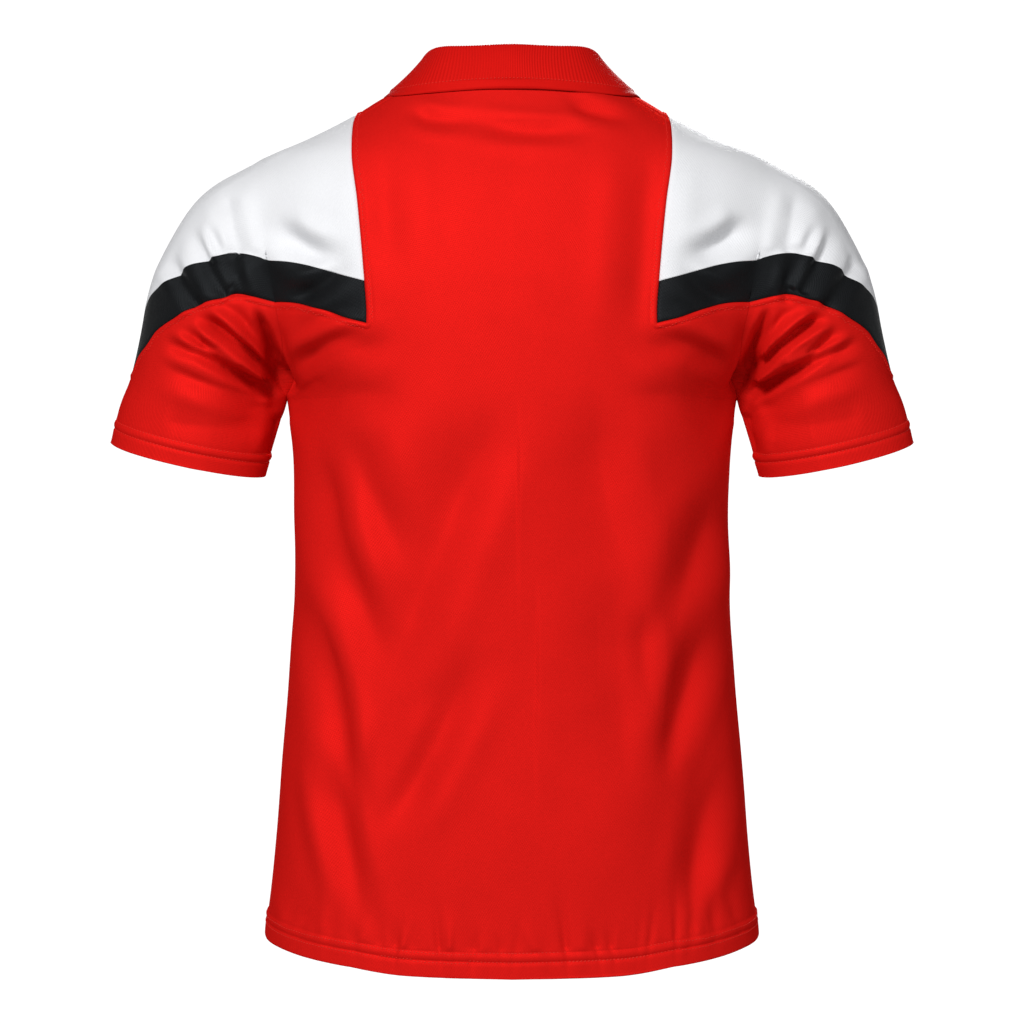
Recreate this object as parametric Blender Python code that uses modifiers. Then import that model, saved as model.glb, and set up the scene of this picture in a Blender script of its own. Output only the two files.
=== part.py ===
"""Football jersey with a fold-over collar, filled out to the form it has when worn.

The wearer's front faces -Y and the wearer's left is +X.  The origin is where the shoulders carry
the jersey: on the centre line, at the height of the side of the neck.

One skin is worked out for the whole garment, from horizontal sections of the body and rings of the
sleeves.  It is divided into the cut pieces, each piece is drawn back from its seams, and each gets
its wall along the normals of the whole skin, so that the edges of neighbours stay parallel.
"""

import math

import bpy
import numpy as np
from mathutils import Vector
from mathutils.bvhtree import BVHTree

MM = 0.001

# ---------------------------------------------------------------- driving dimensions
CLOTH = 1.2 * MM            # wall of the knitted cloth
RIB = 2.0 * MM              # wall of the knitted collar
SEAM_GAP = 0.3 * MM         # between the pieces at every seam
SQUARENESS = 2.3            # 2 gives an oval body section, more gives a squarer one
ARMPIT = -250 * MM          # height of the armpit
NECK_SIDE = 10.8 * MM       # height where the neck edge crosses the shoulder ridge
V_BOTTOM = -125 * MM        # height of the point of the front neck
YOKE_CORNER = -191 * MM     # height of the inner lower corner of the white shoulder panel
SEAM_BEHIND = 42 * MM       # from the shoulder seam over to the ridge, along the cloth
BAND_WIDTH = 34 * MM        # black band along the shoulder panel
CUFF_FORWARD = math.radians(8)   # the cuff's front edge is higher than its back edge
RIDGE_RANGE = (-75 * MM, 14 * MM)   # heights between which lines cross the shoulder ridge
BEHIND_LOW = -33 * MM       # lowest start of the red lines that run over the shoulder
SLEEVE_ROUND = 0.35         # share of the sleeve in which the armhole's shape turns into a ring
ARMHOLE_LAG = 0.8           # how much later the rows rise beside the armhole
SHARPEST = 0.8              # limit for drawing a piece back at its corners

# ---------------------------------------------------------------- counts of rows and columns
BODY_ROWS = 19              # hem to armpit
ARMHOLE_ROWS = 5            # armpit to the shoulder panel
BACK_NECK_COLS = 5          # half the back neck
NECK_COLS = 7               # neck side to the shoulder panel
SIDE_COLS = 6               # shoulder panel to the armhole, or to the side seam
BAND_ROWS = 2
YOKE_BACK_ROWS = 6          # band to the shoulder seam
YOKE_RIDGE_ROWS = 3         # shoulder seam to the ridge
YOKE_FRONT_ROWS = 8         # ridge to the front band
CAP_ROWS = 6                # white part of the sleeve
SLEEVE_ROWS = 12            # red part of the sleeve
NECK_ROWS = 5               # ridge to the point of the V
COLLAR_STEP = 14 * MM       # between the sections of the collar
COLLAR_EASE = 18 * MM       # how far each way the neck edge is looked along for its direction
FINE = 90                   # steps of the curves that the rows are read from


def table(names, rows):
    """Named columns of a table whose numbers are in millimetres."""
    return dict(zip(names.split(), np.array(rows, dtype=float).T * MM))


# Body sections.  Above the armpit the half width is that of the section before the armhole cuts it.
BODY = table("height half_width back front", [
    (-720, 204.5, 116, 118),
    (-690, 204.8, 116, 118),
    (-666, 201.3, 116, 118),
    (-616, 196.4, 117, 118),
    (-549, 191.5, 117, 119),
    (-483, 185.8, 118, 120),
    (-416, 181.5, 122, 126),
    (-360, 180.3, 125, 132),
    (-316, 181.2, 127, 135),
    (-250, 187.2, 130, 134),
    (-235, 191.9, 130, 133),
    (-215, 201.2, 130, 131),
    (-190, 214.0, 129.5, 128),
    (-160, 225.7, 128, 122),
    (-120, 237.0, 122, 111),
    (-90, 239.4, 115, 100),
    (-70, 232.0, 109, 91),
    (-58, 218.4, 104, 85),
    (-50, 210.0, 101, 80),
    (-36, 176.0, 94, 71),
    (-12.7, 129.5, 82, 57),
    (2, 105.0, 74, 50),
    (10.8, 79.0, 69, 45),
    (16, 64.0, 65, 42),
])
ARMHOLE = table("height across", [
    (-250, 187.2), (-221, 187.6), (-190, 190.5), (-172, 193.0),
    (-160, 195.0), (-120, 201.0), (-90, 205.5), (-70, 208.0), (-50, 210.0), (20, 219.0),
])
PANEL_SEAM = table("height across", [       # between the red panel and the white shoulder
    (-720, 131.0), (-450, 118.0), (-250, 116.5), (-191, 117.0), (-141, 120.3),
    (-91.5, 125.0), (-47.7, 130.6), (-28, 131.0), (-12.7, 129.5), (20, 127.0),
])
PANEL_EDGE = table("across height", [       # lower edge of the shoulder panel on the body
    (117, -191), (138, -184.7), (163, -176.7), (180, -173.2), (193, -172),
])
NECK_V = table("height across", [           # front neck edge
    (-125, 0.0), (-90, 23.0), (-50, 47.5), (-20, 64.5), (0, 74.5), (10.8, 79.0), (16, 81.0),
])
NECK_BACK = table("across height", [(0, 6), (35, 6.2), (55, 7.2), (70, 9), (79, 10.8), (81, 14)])
HEM = table("across height", [(0, -717), (86, -715), (155, -709), (190, -702.5), (205, -698)])

# Sleeve rings: the outer and inner ends of each ring, and half its depth.
SLEEVE = table("outer_x outer_z inner_x inner_z half_depth", [
    (210, -50, 187.2, -250, 74),
    (244, -67, 189.8, -253.5, 72),
    (263, -83, 191.2, -257.5, 70.5),
    (275, -100, 192.6, -261.5, 69),
    (284, -116, 193.8, -265.5, 67.5),
    (293, -133, 195.0, -270, 66),
    (300, -150, 196.2, -274.5, 64.5),
    (304, -166, 197.4, -279, 63),
    (306.5, -183, 198.5, -283.5, 61.5),
    (310, -200, 199.7, -288, 60),
    (313.5, -216, 201.0, -292.5, 58),
    (318, -233, 202.4, -297, 56),
    (325, -250, 204.0, -302, 54),
    (330, -266, 205.6, -307, 52),
    (334, -284.5, 207.5, -313, 50.5),
])
SLEEVE_SEAM = table("across height", [      # lower edge of the band round the sleeve
    (193, -172), (226, -165.5), (240, -169), (258, -174), (275, -183), (293, -194),
    (301, -204), (309, -213.5), (312, -220), (315, -226), (322, -230),
])

# Collar, from the middle of the back (0) to the point of the V (1).
# The stand rises by so much up, towards the hole and out of the cloth.
STAND = table("share height up hole out", [     # shares in thousandths
    (0, 33, 940, 300, 0), (200, 32, 930, 330, 0), (300, 29, 925, 370, 0), (375, 25.5, 920, 380, 0),
    (520, 20, 800, 150, 300), (700, 15, 550, 0, 700), (1000, 9, 250, 100, 950),
])
LEAF_EDGE = table("share across height", [      # on the body
    (0, 0, -2), (140, 40, -2.2), (250, 80, -1.5), (320, 99, 0.5), (375, 105, 2),
    (450, 111, -10), (580, 113, -36), (740, 105, -68), (880, 87, -98), (1000, 64, -125),
])
LEAF_RIDGE = 0.375          # share of the neck edge at which the leaf crosses the ridge
FOLD_RADIUS = 3.2 * MM
LEAF_LIFT = 3.0 * MM        # leaf's mid-wall above the body at its edge
LEAF_BULGE = (0.35, 0.12)   # how far the leaf swells on its way down, down and outward
COLLAR_START = 7 * MM       # each end of the collar, from the point of the V
COLLAR_LAST = 3 * MM        # no section nearer than this to the end

# Largest folds of the body: from (x0, z0) to (x1, z1), how wide and how deep (a ridge is negative).
BACK_FOLDS = table("x0 z0 x1 z1 width depth", [
    (8, -268, 74, -413, 17, 3.5),
    (74, -413, 118, -560, 16, 4.5),
    (34, -453, 110, -601, 13, 2.5),
    (168, -285, 130, -445, 12, 4.5),
    (160, -310, 112, -400, 12, -3.0),
    (172, -390, 138, -580, 11, 4.5),
    (170, -420, 128, -490, 10, -2.5),
    (176, -500, 120, -660, 11, 3.5),
    (-70, -133, -86, -381, 28, -2.5),
    (-86, -381, -106, -450, 24, -3.0),
    (-110, -425, -128, -480, 13, 3.5),
    (-170, -285, -112, -445, 12, 4.0),
    (-164, -440, -136, -545, 11, 3.5),
    (-142, -410, -126, -480, 11, -2.5),
    (-150, -520, -180, -650, 11, 3.0),
])
FRONT_FOLDS = table("x0 z0 x1 z1 width depth", [
    (-20, -250, -78, -420, 18, 3.5),
    (-60, -470, -112, -620, 15, 3.5),
    (166, -290, 122, -450, 12, 4.5),
    (172, -400, 136, -590, 11, 4.0),
    (150, -330, 104, -410, 12, -2.5),
    (62, -200, 84, -400, 26, -2.5),
    (-168, -288, -118, -455, 12, 4.5),
    (-170, -430, -134, -590, 11, 4.0),
    (176, -540, 128, -660, 11, 3.0),
])
SIDE_FADE = 25 * MM         # the folds fade out so near the side seams
FOLD_TOP = -60 * MM         # no fold above this height
TOP_FADE = 60 * MM          # and they come in over so much below it
SLEEVE_FROM = 207 * MM      # half width beyond which the body's folds don't reach
# Folds of the sleeve, which fan out from the armpit: place along the sleeve and width of each, in
# thousandths, depth, and how far round it runs, in thousandths from the armpit to the outer line.
SLEEVE_FOLDS = table("place width depth reach", [
    (160, 55, 3.0, 750),
    (320, 60, 4.0, 800),
    (500, 60, 3.5, 650),
    (690, 60, 2.5, 500),
])
FOLD_START = 0.22           # share of the way round in which a sleeve fold comes in
FOLD_END = 0.25             # and dies away

RED = (0.610, 0.010, 0.008, 1)
WHITE = (0.830, 0.838, 0.870, 1)
BLACK = (0.006, 0.007, 0.008, 1)


# ---------------------------------------------------------------- curves and sections
def through(xs, ys, at):
    """Smooth curve through points, rising or falling only where they do."""
    step = np.diff(xs)
    slope = np.diff(ys) / step
    tangent = np.concatenate([slope[:1], np.zeros(len(xs) - 2), slope[-1:]])
    before, after = slope[:-1], slope[1:]
    same = before * after > 0
    tangent[1:-1][same] = 2 * before[same] * after[same] / (before[same] + after[same])
    at = np.clip(at, xs[0], xs[-1])
    i = np.clip(np.searchsorted(xs, at) - 1, 0, len(step) - 1)
    t = (at - xs[i]) / step[i]
    rise = ys[i] * (1 + 2 * t) * (1 - t) ** 2 + ys[i + 1] * t * t * (3 - 2 * t)
    return rise + step[i] * (tangent[i] * t * (1 - t) ** 2 + tangent[i + 1] * t * t * (t - 1))


def armhole(z):
    return through(ARMHOLE["height"], ARMHOLE["across"], z)


def panel_seam(z):
    return through(PANEL_SEAM["height"], PANEL_SEAM["across"], z)


def neck_v(z):
    return through(NECK_V["height"], NECK_V["across"], z)


def neck_back(z, ridge):
    """The back neck edge, taken down from the ridge so that lines beside it can follow it."""
    return through(NECK_BACK["height"], NECK_BACK["across"], NECK_SIDE - (ridge - z))


def half_width(z):
    return through(BODY["height"], BODY["half_width"], z)


def on_body(x, z, side):
    """Point of the body's skin at (x, z): side 1 is the back, -1 the front."""
    reach = through(BODY["height"], BODY["back" if side > 0 else "front"], z)
    inside = np.clip(1 - (np.abs(x) / half_width(z)) ** SQUARENESS, 0, 1)
    return np.stack([x, side * reach * inside ** (1 / SQUARENESS), z], axis=-1)


def root(function, low, high):
    """Where a function changes sign, by halving."""
    rising = function(high) > function(low)
    for _ in range(50):
        middle = (low + high) / 2
        if (function(middle) > 0) == rising:
            high = middle
        else:
            low = middle
    return (low + high) / 2


def lengths(points):
    """Length along a line of points, at each point."""
    return np.concatenate([[0], np.cumsum(np.linalg.norm(np.diff(points, axis=0), axis=1))])


def at_lengths(points, wanted):
    along = lengths(points)
    return np.stack([np.interp(wanted, along, points[:, k]) for k in range(3)], axis=-1)


def at_height(points, height):
    """Length along a line at which it comes down to a height."""
    return np.interp(-height, -points[FINE:, 2], lengths(points)[FINE:])


def over_shoulder(across_back, across_front, back_end, front_end):
    """Line of the skin from the back over the ridge to the front, and the length to the ridge.

    The first two give the line's x at each height, behind the ridge and in front of it.
    """
    ridge = root(lambda z: half_width(z) - across_front(z), *RIDGE_RANGE)
    share = np.linspace(1, 0, FINE) ** 2
    back_z = ridge - (ridge - back_end) * share
    front_z = ridge - (ridge - front_end) * share[::-1]
    back = on_body(across_back(back_z, ridge), back_z, 1)
    front = on_body(across_front(front_z), front_z, -1)
    return np.concatenate([back, front[1:]]), lengths(back)[-1]


def blend(a, b, t):
    return a + (b - a) * t


def evenly(count):
    return np.linspace(0, 1, count + 1)


# ---------------------------------------------------------------- the body's grids (left half)
def panel_edge_point(f):
    """x and z on the lower edge of the shoulder panel: f 0 at its corner, 1 at the armhole."""
    x = blend(PANEL_EDGE["across"][0], PANEL_EDGE["across"][-1], f)
    for _ in range(6):
        z = through(PANEL_EDGE["across"], PANEL_EDGE["height"], x)
        x = blend(panel_seam(z), armhole(z), f)
    return x, z


def yoke_grid():
    """Shoulder panel and its band, back edge to front edge, by columns from neck to armhole."""
    columns = []
    for f in evenly(SIDE_COLS):
        _, edge = panel_edge_point(f)
        def across(z):
            return blend(panel_seam(z), armhole(z), f)
        line, ridge = over_shoulder(lambda z, top: across(z), across, edge, edge)
        end = lengths(line)[-1]
        seam = ridge - SEAM_BEHIND
        stops = np.concatenate([
            BAND_WIDTH * evenly(BAND_ROWS),
            blend(BAND_WIDTH, seam, evenly(YOKE_BACK_ROWS)[1:]),
            blend(seam, ridge, evenly(YOKE_RIDGE_ROWS)[1:]),
            blend(ridge, end - BAND_WIDTH, evenly(YOKE_FRONT_ROWS)[1:]),
            end - BAND_WIDTH * evenly(BAND_ROWS)[::-1][1:],
        ])
        columns.append(at_lengths(line, stops))
    return np.stack(columns, axis=1)


def front_upper_grid(yoke):
    """Red front from the level of the panel's corner up and over to the shoulder seam."""
    first = BAND_ROWS + YOKE_BACK_ROWS
    panel_side = yoke[first:, 0]
    gone = lengths(panel_side)
    rows_below = BAND_ROWS + YOKE_FRONT_ROWS - NECK_ROWS
    columns = []
    for f in evenly(NECK_COLS)[:-1]:
        line, ridge = over_shoulder(
            lambda z, top: blend(neck_back(z, top), panel_seam(z), f),
            lambda z: blend(neck_v(z), panel_seam(z), f),
            blend(NECK_BACK["height"][0], BEHIND_LOW, f), YOKE_CORNER)
        end = lengths(line)[-1]
        start = ridge - SEAM_BEHIND
        v_point = at_height(line, V_BOTTOM)
        neck_stops = np.concatenate([
            blend(start, ridge, evenly(YOKE_RIDGE_ROWS)),
            blend(ridge, v_point, evenly(NECK_ROWS)[1:]),
            blend(v_point, end, evenly(rows_below)[1:]),
        ])
        panel_stops = blend(start, end, gone / gone[-1])
        columns.append(at_lengths(line, blend(neck_stops, panel_stops, f)))
    return np.stack(columns + [panel_side], axis=1)


def back_upper_grid(yoke, front):
    """Red back from the level of the panel's corner up to the neck and the shoulder seam."""
    panel_side = yoke[:BAND_ROWS + YOKE_BACK_ROWS + 1, 0]
    corner = front[0, 0]
    neck_x = corner[0] * evenly(BACK_NECK_COLS)[:-1]
    neck_z = through(NECK_BACK["across"], NECK_BACK["height"], neck_x)
    top = np.concatenate([on_body(neck_x, neck_z, 1), front[0]])
    shares = evenly(BACK_NECK_COLS + NECK_COLS)
    top_shares = top[:, 0] / top[-1, 0]
    rows = []
    for point in panel_side:
        up = (point[2] - YOKE_CORNER) / (panel_side[-1, 2] - YOKE_CORNER)
        z = blend(YOKE_CORNER, top[:, 2], up)
        x = blend(shares, top_shares, up) * blend(panel_seam(z), point[0], shares ** 4)
        rows.append(on_body(x, z, 1))
    rows[-1] = top
    grid = np.stack(rows)
    grid[:, -1] = panel_side
    return grid


def lower_grid(side, inner_cols, top_row):
    """Body from the hem to the level of the shoulder panel; its last column is the side seam."""
    inner, outer = evenly(inner_cols), evenly(SIDE_COLS)[1:]
    top_z = top_row[:, 2]
    cols = inner_cols + SIDE_COLS
    lean = np.arange(cols + 1) / cols
    hem_x = np.concatenate([inner * panel_seam(BODY["height"][0]),
                            blend(panel_seam(BODY["height"][0]), HEM["across"][-1], outer)])
    hem_z = through(HEM["across"], HEM["height"], hem_x)
    rows = [blend(hem_z, ARMPIT, up) for up in evenly(BODY_ROWS)]
    for up in evenly(ARMHOLE_ROWS)[1:]:
        rows.append(blend(ARMPIT, top_z, up ** (1 + ARMHOLE_LAG * lean ** 3)))
    grid = []
    for z in rows[:-1]:
        x = inner * panel_seam(z[:inner_cols + 1])
        points = list(on_body(x, z[:inner_cols + 1], side))
        for f, height in zip(outer, z[inner_cols + 1:]):
            points.append(side_point(f, height, side))
        grid.append(points)
    grid.append(top_row)
    return np.array(grid)


def side_point(f, z, side):
    """Point between the panel seam's line (f 0) and the side seam or the armhole (f 1)."""
    start = panel_seam(z)
    end = half_width(z) if z < ARMPIT else armhole(z)
    turn = np.linspace(math.asin(min(start / end, 1)), math.pi / 2, FINE)
    section = on_body(end * np.sin(turn), np.full(FINE, z), side)
    along = lengths(section)
    by_length = np.interp(f * along[-1], along, section[:, 0])
    level = min(max((z - ARMPIT) / (PANEL_EDGE["height"][-1] - ARMPIT), 0), 1)
    x = blend(by_length, blend(start, end, f), level)
    return on_body(np.array(x), np.array(z), side)


# ---------------------------------------------------------------- the sleeve's grids (left)
class Sleeve:
    """Rings from the armhole to the cuff, which fan out round the armpit."""

    def __init__(self, loop):
        self.loop = loop
        self.top = int(np.argmax(loop[:, 2]))
        ends = np.stack([SLEEVE["outer_x"], SLEEVE["outer_z"]], axis=-1)
        self.run = lengths(np.column_stack([ends, np.zeros(len(ends))]))
        self.length = self.run[-1]
        inner = np.array([SLEEVE["inner_x"][0], SLEEVE["inner_z"][0]])
        chord = ends[0] - inner
        flat = loop[:, [0, 2]] - inner
        self.up = flat @ chord / (chord @ chord)
        across = np.array([chord[1], -chord[0]]) / np.linalg.norm(chord)
        self.off = flat @ across
        turn = lengths(loop)
        half = turn[self.top]
        self.angle = np.where(turn <= half, np.pi * (1 - turn / half),
                              -np.pi * (turn - half) / (turn[-1] - half))

    def point(self, s, k):
        """Point at share s of the sleeve's length in column k."""
        outer = np.array([through(self.run, SLEEVE[name], s * self.length)
                          for name in ("outer_x", "outer_z")])
        inner = np.array([through(self.run, SLEEVE[name], s * self.length)
                          for name in ("inner_x", "inner_z")])
        half_depth = through(self.run, SLEEVE["half_depth"], s * self.length)
        chord = outer - inner
        across = np.array([chord[1], -chord[0]]) / np.linalg.norm(chord)
        own = min(s / SLEEVE_ROUND, 1)
        own = own * own * (3 - 2 * own)
        up = blend(self.up[k], (1 + math.cos(self.angle[k])) / 2, own)
        y = blend(self.loop[k, 1], half_depth * math.sin(self.angle[k]), own)
        out = self.off[k] * (1 - own) + y * math.tan(CUFF_FORWARD) * s * s
        x, z = inner + chord * up + across * out
        return np.array([x, y, z])

    def seam_share(self, k):
        """Where column k crosses the lower edge of the band."""
        def above(s):
            x, _, z = self.point(s, k)
            return z - through(SLEEVE_SEAM["across"], SLEEVE_SEAM["height"], x)
        return root(above, 0.0, 0.95) if above(0.004) > 0 else 0.0

    def band_top_share(self, k, seam_line, seam):
        """Where column k comes to the band's width above its lower edge."""
        def clear(s):
            return np.min(np.linalg.norm(seam_line - self.point(s, k), axis=1)) - BAND_WIDTH
        return root(clear, 0.0, seam) if clear(0.0) > 0 else 0.0

    def strip(self, columns, starts, ends, rows):
        """Grid between two places along the sleeve, for some of its columns, and its folds."""
        places = [[(blend(a, b, t), k) for k, a, b in zip(columns, starts, ends)]
                  for t in evenly(rows)]
        grid = np.array([[self.point(s, k) for s, k in row] for row in places])
        sink = np.array([[self.fold_depth(s, k) for s, k in row] for row in places])
        return grid, sink

    def fold_depth(self, s, k):
        """How far a point sinks in the folds that fan out from the armpit."""
        up = 1 - abs(self.angle[k]) / np.pi
        sink = 0.0
        for place, width, depth, reach in zip(*SLEEVE_FOLDS.values()):
            hill = math.exp(-((s - place) / width) ** 2)
            start = min(up / FOLD_START, 1)
            end = min(max((reach - up) / FOLD_END, 0), 1)
            sink += depth * hill * (start * end) ** 2
        return sink


# ---------------------------------------------------------------- one skin, cut into pieces
class Skin:
    """Points shared by all the pieces, and faces that carry the name of their piece."""

    def __init__(self):
        self.points = []
        self.sinks = []
        self.known = {}
        self.faces = []

    def add_point(self, point, sink=0.0):
        key = tuple(np.round(np.asarray(point) / (0.02 * MM)).astype(int))
        if key not in self.known:
            self.known[key] = len(self.points)
            self.points.append(np.array(point, dtype=float))
            self.sinks.append(sink)
        return self.known[key]

    def add_grid(self, piece, grid, outward, region="body", sinks=None):
        """Faces of a grid of points.  outward is whether rows x columns points out of the garment."""
        if sinks is None:
            sinks = np.zeros(grid.shape[:2])
        index = [[self.add_point(*place) for place in zip(*row)] for row in zip(grid, sinks)]
        for low, high in zip(index, index[1:]):
            for a, b, c, d in zip(low, low[1:], high[1:], high):
                corners = [a, b, c, d] if outward else [d, c, b, a]
                corners = [v for n, v in enumerate(corners) if v != corners[n - 1]]
                if len(corners) > 2:
                    self.faces.append((piece, region, corners))

    def normals(self):
        """One normal a point, halfway between the body's and the sleeve's along the armhole."""
        points = np.array(self.points)
        total = np.zeros_like(points)
        for region in ("body", "sleeve"):
            own = np.zeros_like(points)
            for _, place, corners in self.faces:
                if place == region:
                    first, second, third, fourth = points[(corners + corners[:1])[:4]]
                    if len(corners) == 4:
                        own[corners] += np.cross(third - first, fourth - second)
                    else:
                        own[corners] += np.cross(second - first, third - first)
            size = np.linalg.norm(own, axis=1, keepdims=True)
            total += own / np.maximum(size, 1e-12)
        return total / np.linalg.norm(total, axis=1, keepdims=True)


def piece_mesh(skin, normals, piece, wall):
    """Closed wall of one piece, drawn back half a gap from its edges."""
    faces = [corners for name, _, corners in skin.faces if name == piece]
    used = sorted({v for corners in faces for v in corners})
    number = {v: n for n, v in enumerate(used)}
    outer = np.array([skin.points[v] for v in used])
    normal = normals[used]
    faces = [[number[v] for v in corners] for corners in faces]
    edges = {(a, b) for corners in faces for a, b in zip(corners, corners[1:] + corners[:1])}
    rim = [(a, b) for a, b in edges if (b, a) not in edges]
    inward = np.zeros_like(outer)
    count = np.zeros(len(outer))
    for a, b in rim:
        for v in (a, b):
            pull = np.cross(normal[v], outer[b] - outer[a])
            inward[v] += pull / np.linalg.norm(pull)
            count[v] += 1
    at_rim = count > 0
    bend = np.maximum(np.sum(inward[at_rim] ** 2, axis=1), SHARPEST) / 2
    outer[at_rim] += inward[at_rim] / bend[:, None] * (SEAM_GAP / 2)
    inner = outer - normal * wall
    size = len(outer)
    walls = faces + [[v + size for v in reversed(corners)] for corners in faces]
    walls += [[b, a, a + size, b + size] for a, b in rim]
    mesh = bpy.data.meshes.new(piece)
    mesh.from_pydata(np.concatenate([outer, inner]).tolist(), [], walls)
    mesh.update()
    return mesh


# ---------------------------------------------------------------- folds
def fold_depth(points, folds):
    """How far each point sinks in the troughs, which fade at their ends and across."""
    sink = np.zeros(len(points))
    flat = points[:, [0, 2]]
    for x0, z0, x1, z1, width, depth in zip(*folds.values()):
        start, run = np.array([x0, z0]), np.array([x1 - x0, z1 - z0])
        t = np.clip((flat - start) @ run / (run @ run), 0, 1)
        away = np.linalg.norm(flat - start - t[:, None] * run, axis=1)
        fade = np.sin(np.pi * np.clip(0.12 + 0.76 * t, 0, 1))
        sink += depth * fade * np.exp(-(away / width) ** 2)
    return sink


# ---------------------------------------------------------------- collar
def neck_line(front, back):
    """Left neck edge from the middle of the back to the point of the V."""
    v_row = int(np.argmin(np.abs(front[:, 0, 2] - V_BOTTOM)))
    return np.concatenate([back[-1, :BACK_NECK_COLS], front[:v_row + 1, 0]])


def leaf_line():
    """Leaf's edge on the body, as the shares of the neck edge and the points they face."""
    side = np.where(LEAF_EDGE["share"] <= LEAF_RIDGE + 1e-9, 1, -1)
    points = [on_body(x, z, s) for x, z, s in zip(LEAF_EDGE["across"], LEAF_EDGE["height"], side)]
    return LEAF_EDGE["share"], np.array(points)


def unit(v):
    return v / np.linalg.norm(v)


def laid_on(body, point, lift):
    """The point, moved out of the body where it is nearer to the cloth than lift."""
    place, normal, _, _ = body.find_nearest(Vector(point))
    above = (Vector(point) - place).dot(normal)
    return np.array(place + normal * lift) if above < lift else point


def collar_section(body, neck, along, normal, leaf, height, weights):
    """Mid-wall line of the rib: up the stand, over the fold and down the leaf."""
    toward_hole = unit(np.cross(along, normal))
    level = unit(toward_hole * np.array([1, 1, 0]))
    rise = unit(weights[0] * np.array([0, 0, 1]) + weights[1] * level + weights[2] * normal)
    clear = SEAM_GAP + RIB / 2 * abs(rise @ normal)
    foot = neck + toward_hole * clear - normal * CLOTH / 2
    edge = laid_on(body, leaf, LEAF_LIFT)
    top = foot + rise * height
    out = unit((edge - top) - rise * ((edge - top) @ rise))
    turn_start = top - rise * FOLD_RADIUS
    centre = turn_start + out * FOLD_RADIUS
    stand = [blend(foot, turn_start, t) for t in (0, 1 / 3, 2 / 3, 1)]
    fold = [centre + FOLD_RADIUS * (math.sin(a) * rise - math.cos(a) * out)
            for a in np.pi * evenly(4)[1:]]
    drop = fold[-1]
    reach = np.linalg.norm(edge - drop)
    bulge = drop - rise * reach * LEAF_BULGE[0] + out * reach * LEAF_BULGE[1]
    leaf_points = [laid_on(body, (1 - t) ** 2 * drop + 2 * t * (1 - t) * bulge + t * t * edge,
                           LEAF_LIFT) for t in evenly(5)[1:]]
    return np.array(stand + fold + leaf_points)


def collar_grid(body, neck, normals):
    """Sections at each point of the left neck edge, from the middle of the back to the V."""
    gone = lengths(neck)
    share = gone / gone[-1]
    leaf_share, leaf_points = leaf_line()
    stand_share = STAND["share"]
    sections = []
    last = gone[-1] - COLLAR_START
    pace = [max(1, round(step / COLLAR_STEP)) for step in np.diff(gone)]
    stops = [g for start, end, count in zip(gone, gone[1:], pace)
             for g in blend(start, end, evenly(count)[:-1]) if g < last - COLLAR_LAST] + [last]
    for stop in stops:
        q = stop / gone[-1]
        point = at_lengths(neck, stop)
        normal = unit(np.array([np.interp(q, share, normals[:, k]) for k in range(3)]))
        near = min(stop, COLLAR_EASE)
        along = unit(at_lengths(neck, stop + near) - at_lengths(neck, stop - near)
                     if stop > 0 else np.array([1.0, 0, 0]))
        leaf = np.array([through(leaf_share, leaf_points[:, k], q) for k in range(3)])
        height = through(stand_share, STAND["height"], q)
        weights = [through(stand_share, STAND[name], q) for name in ("up", "hole", "out")]
        sections.append(collar_section(body, point, along, normal, leaf, height, weights))
    return np.array(sections)


# ---------------------------------------------------------------- building
def finish(name, colour, roughness):
    made = bpy.data.materials.new(name)
    made.use_nodes = True
    shader = made.node_tree.nodes["Principled BSDF"]
    shader.inputs["Base Color"].default_value = colour
    shader.inputs["Roughness"].default_value = roughness
    shader.inputs["Metallic"].default_value = 0
    made.diffuse_color = colour
    return made


def mirrored(grid):
    return grid * np.array([-1, 1, 1])


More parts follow.
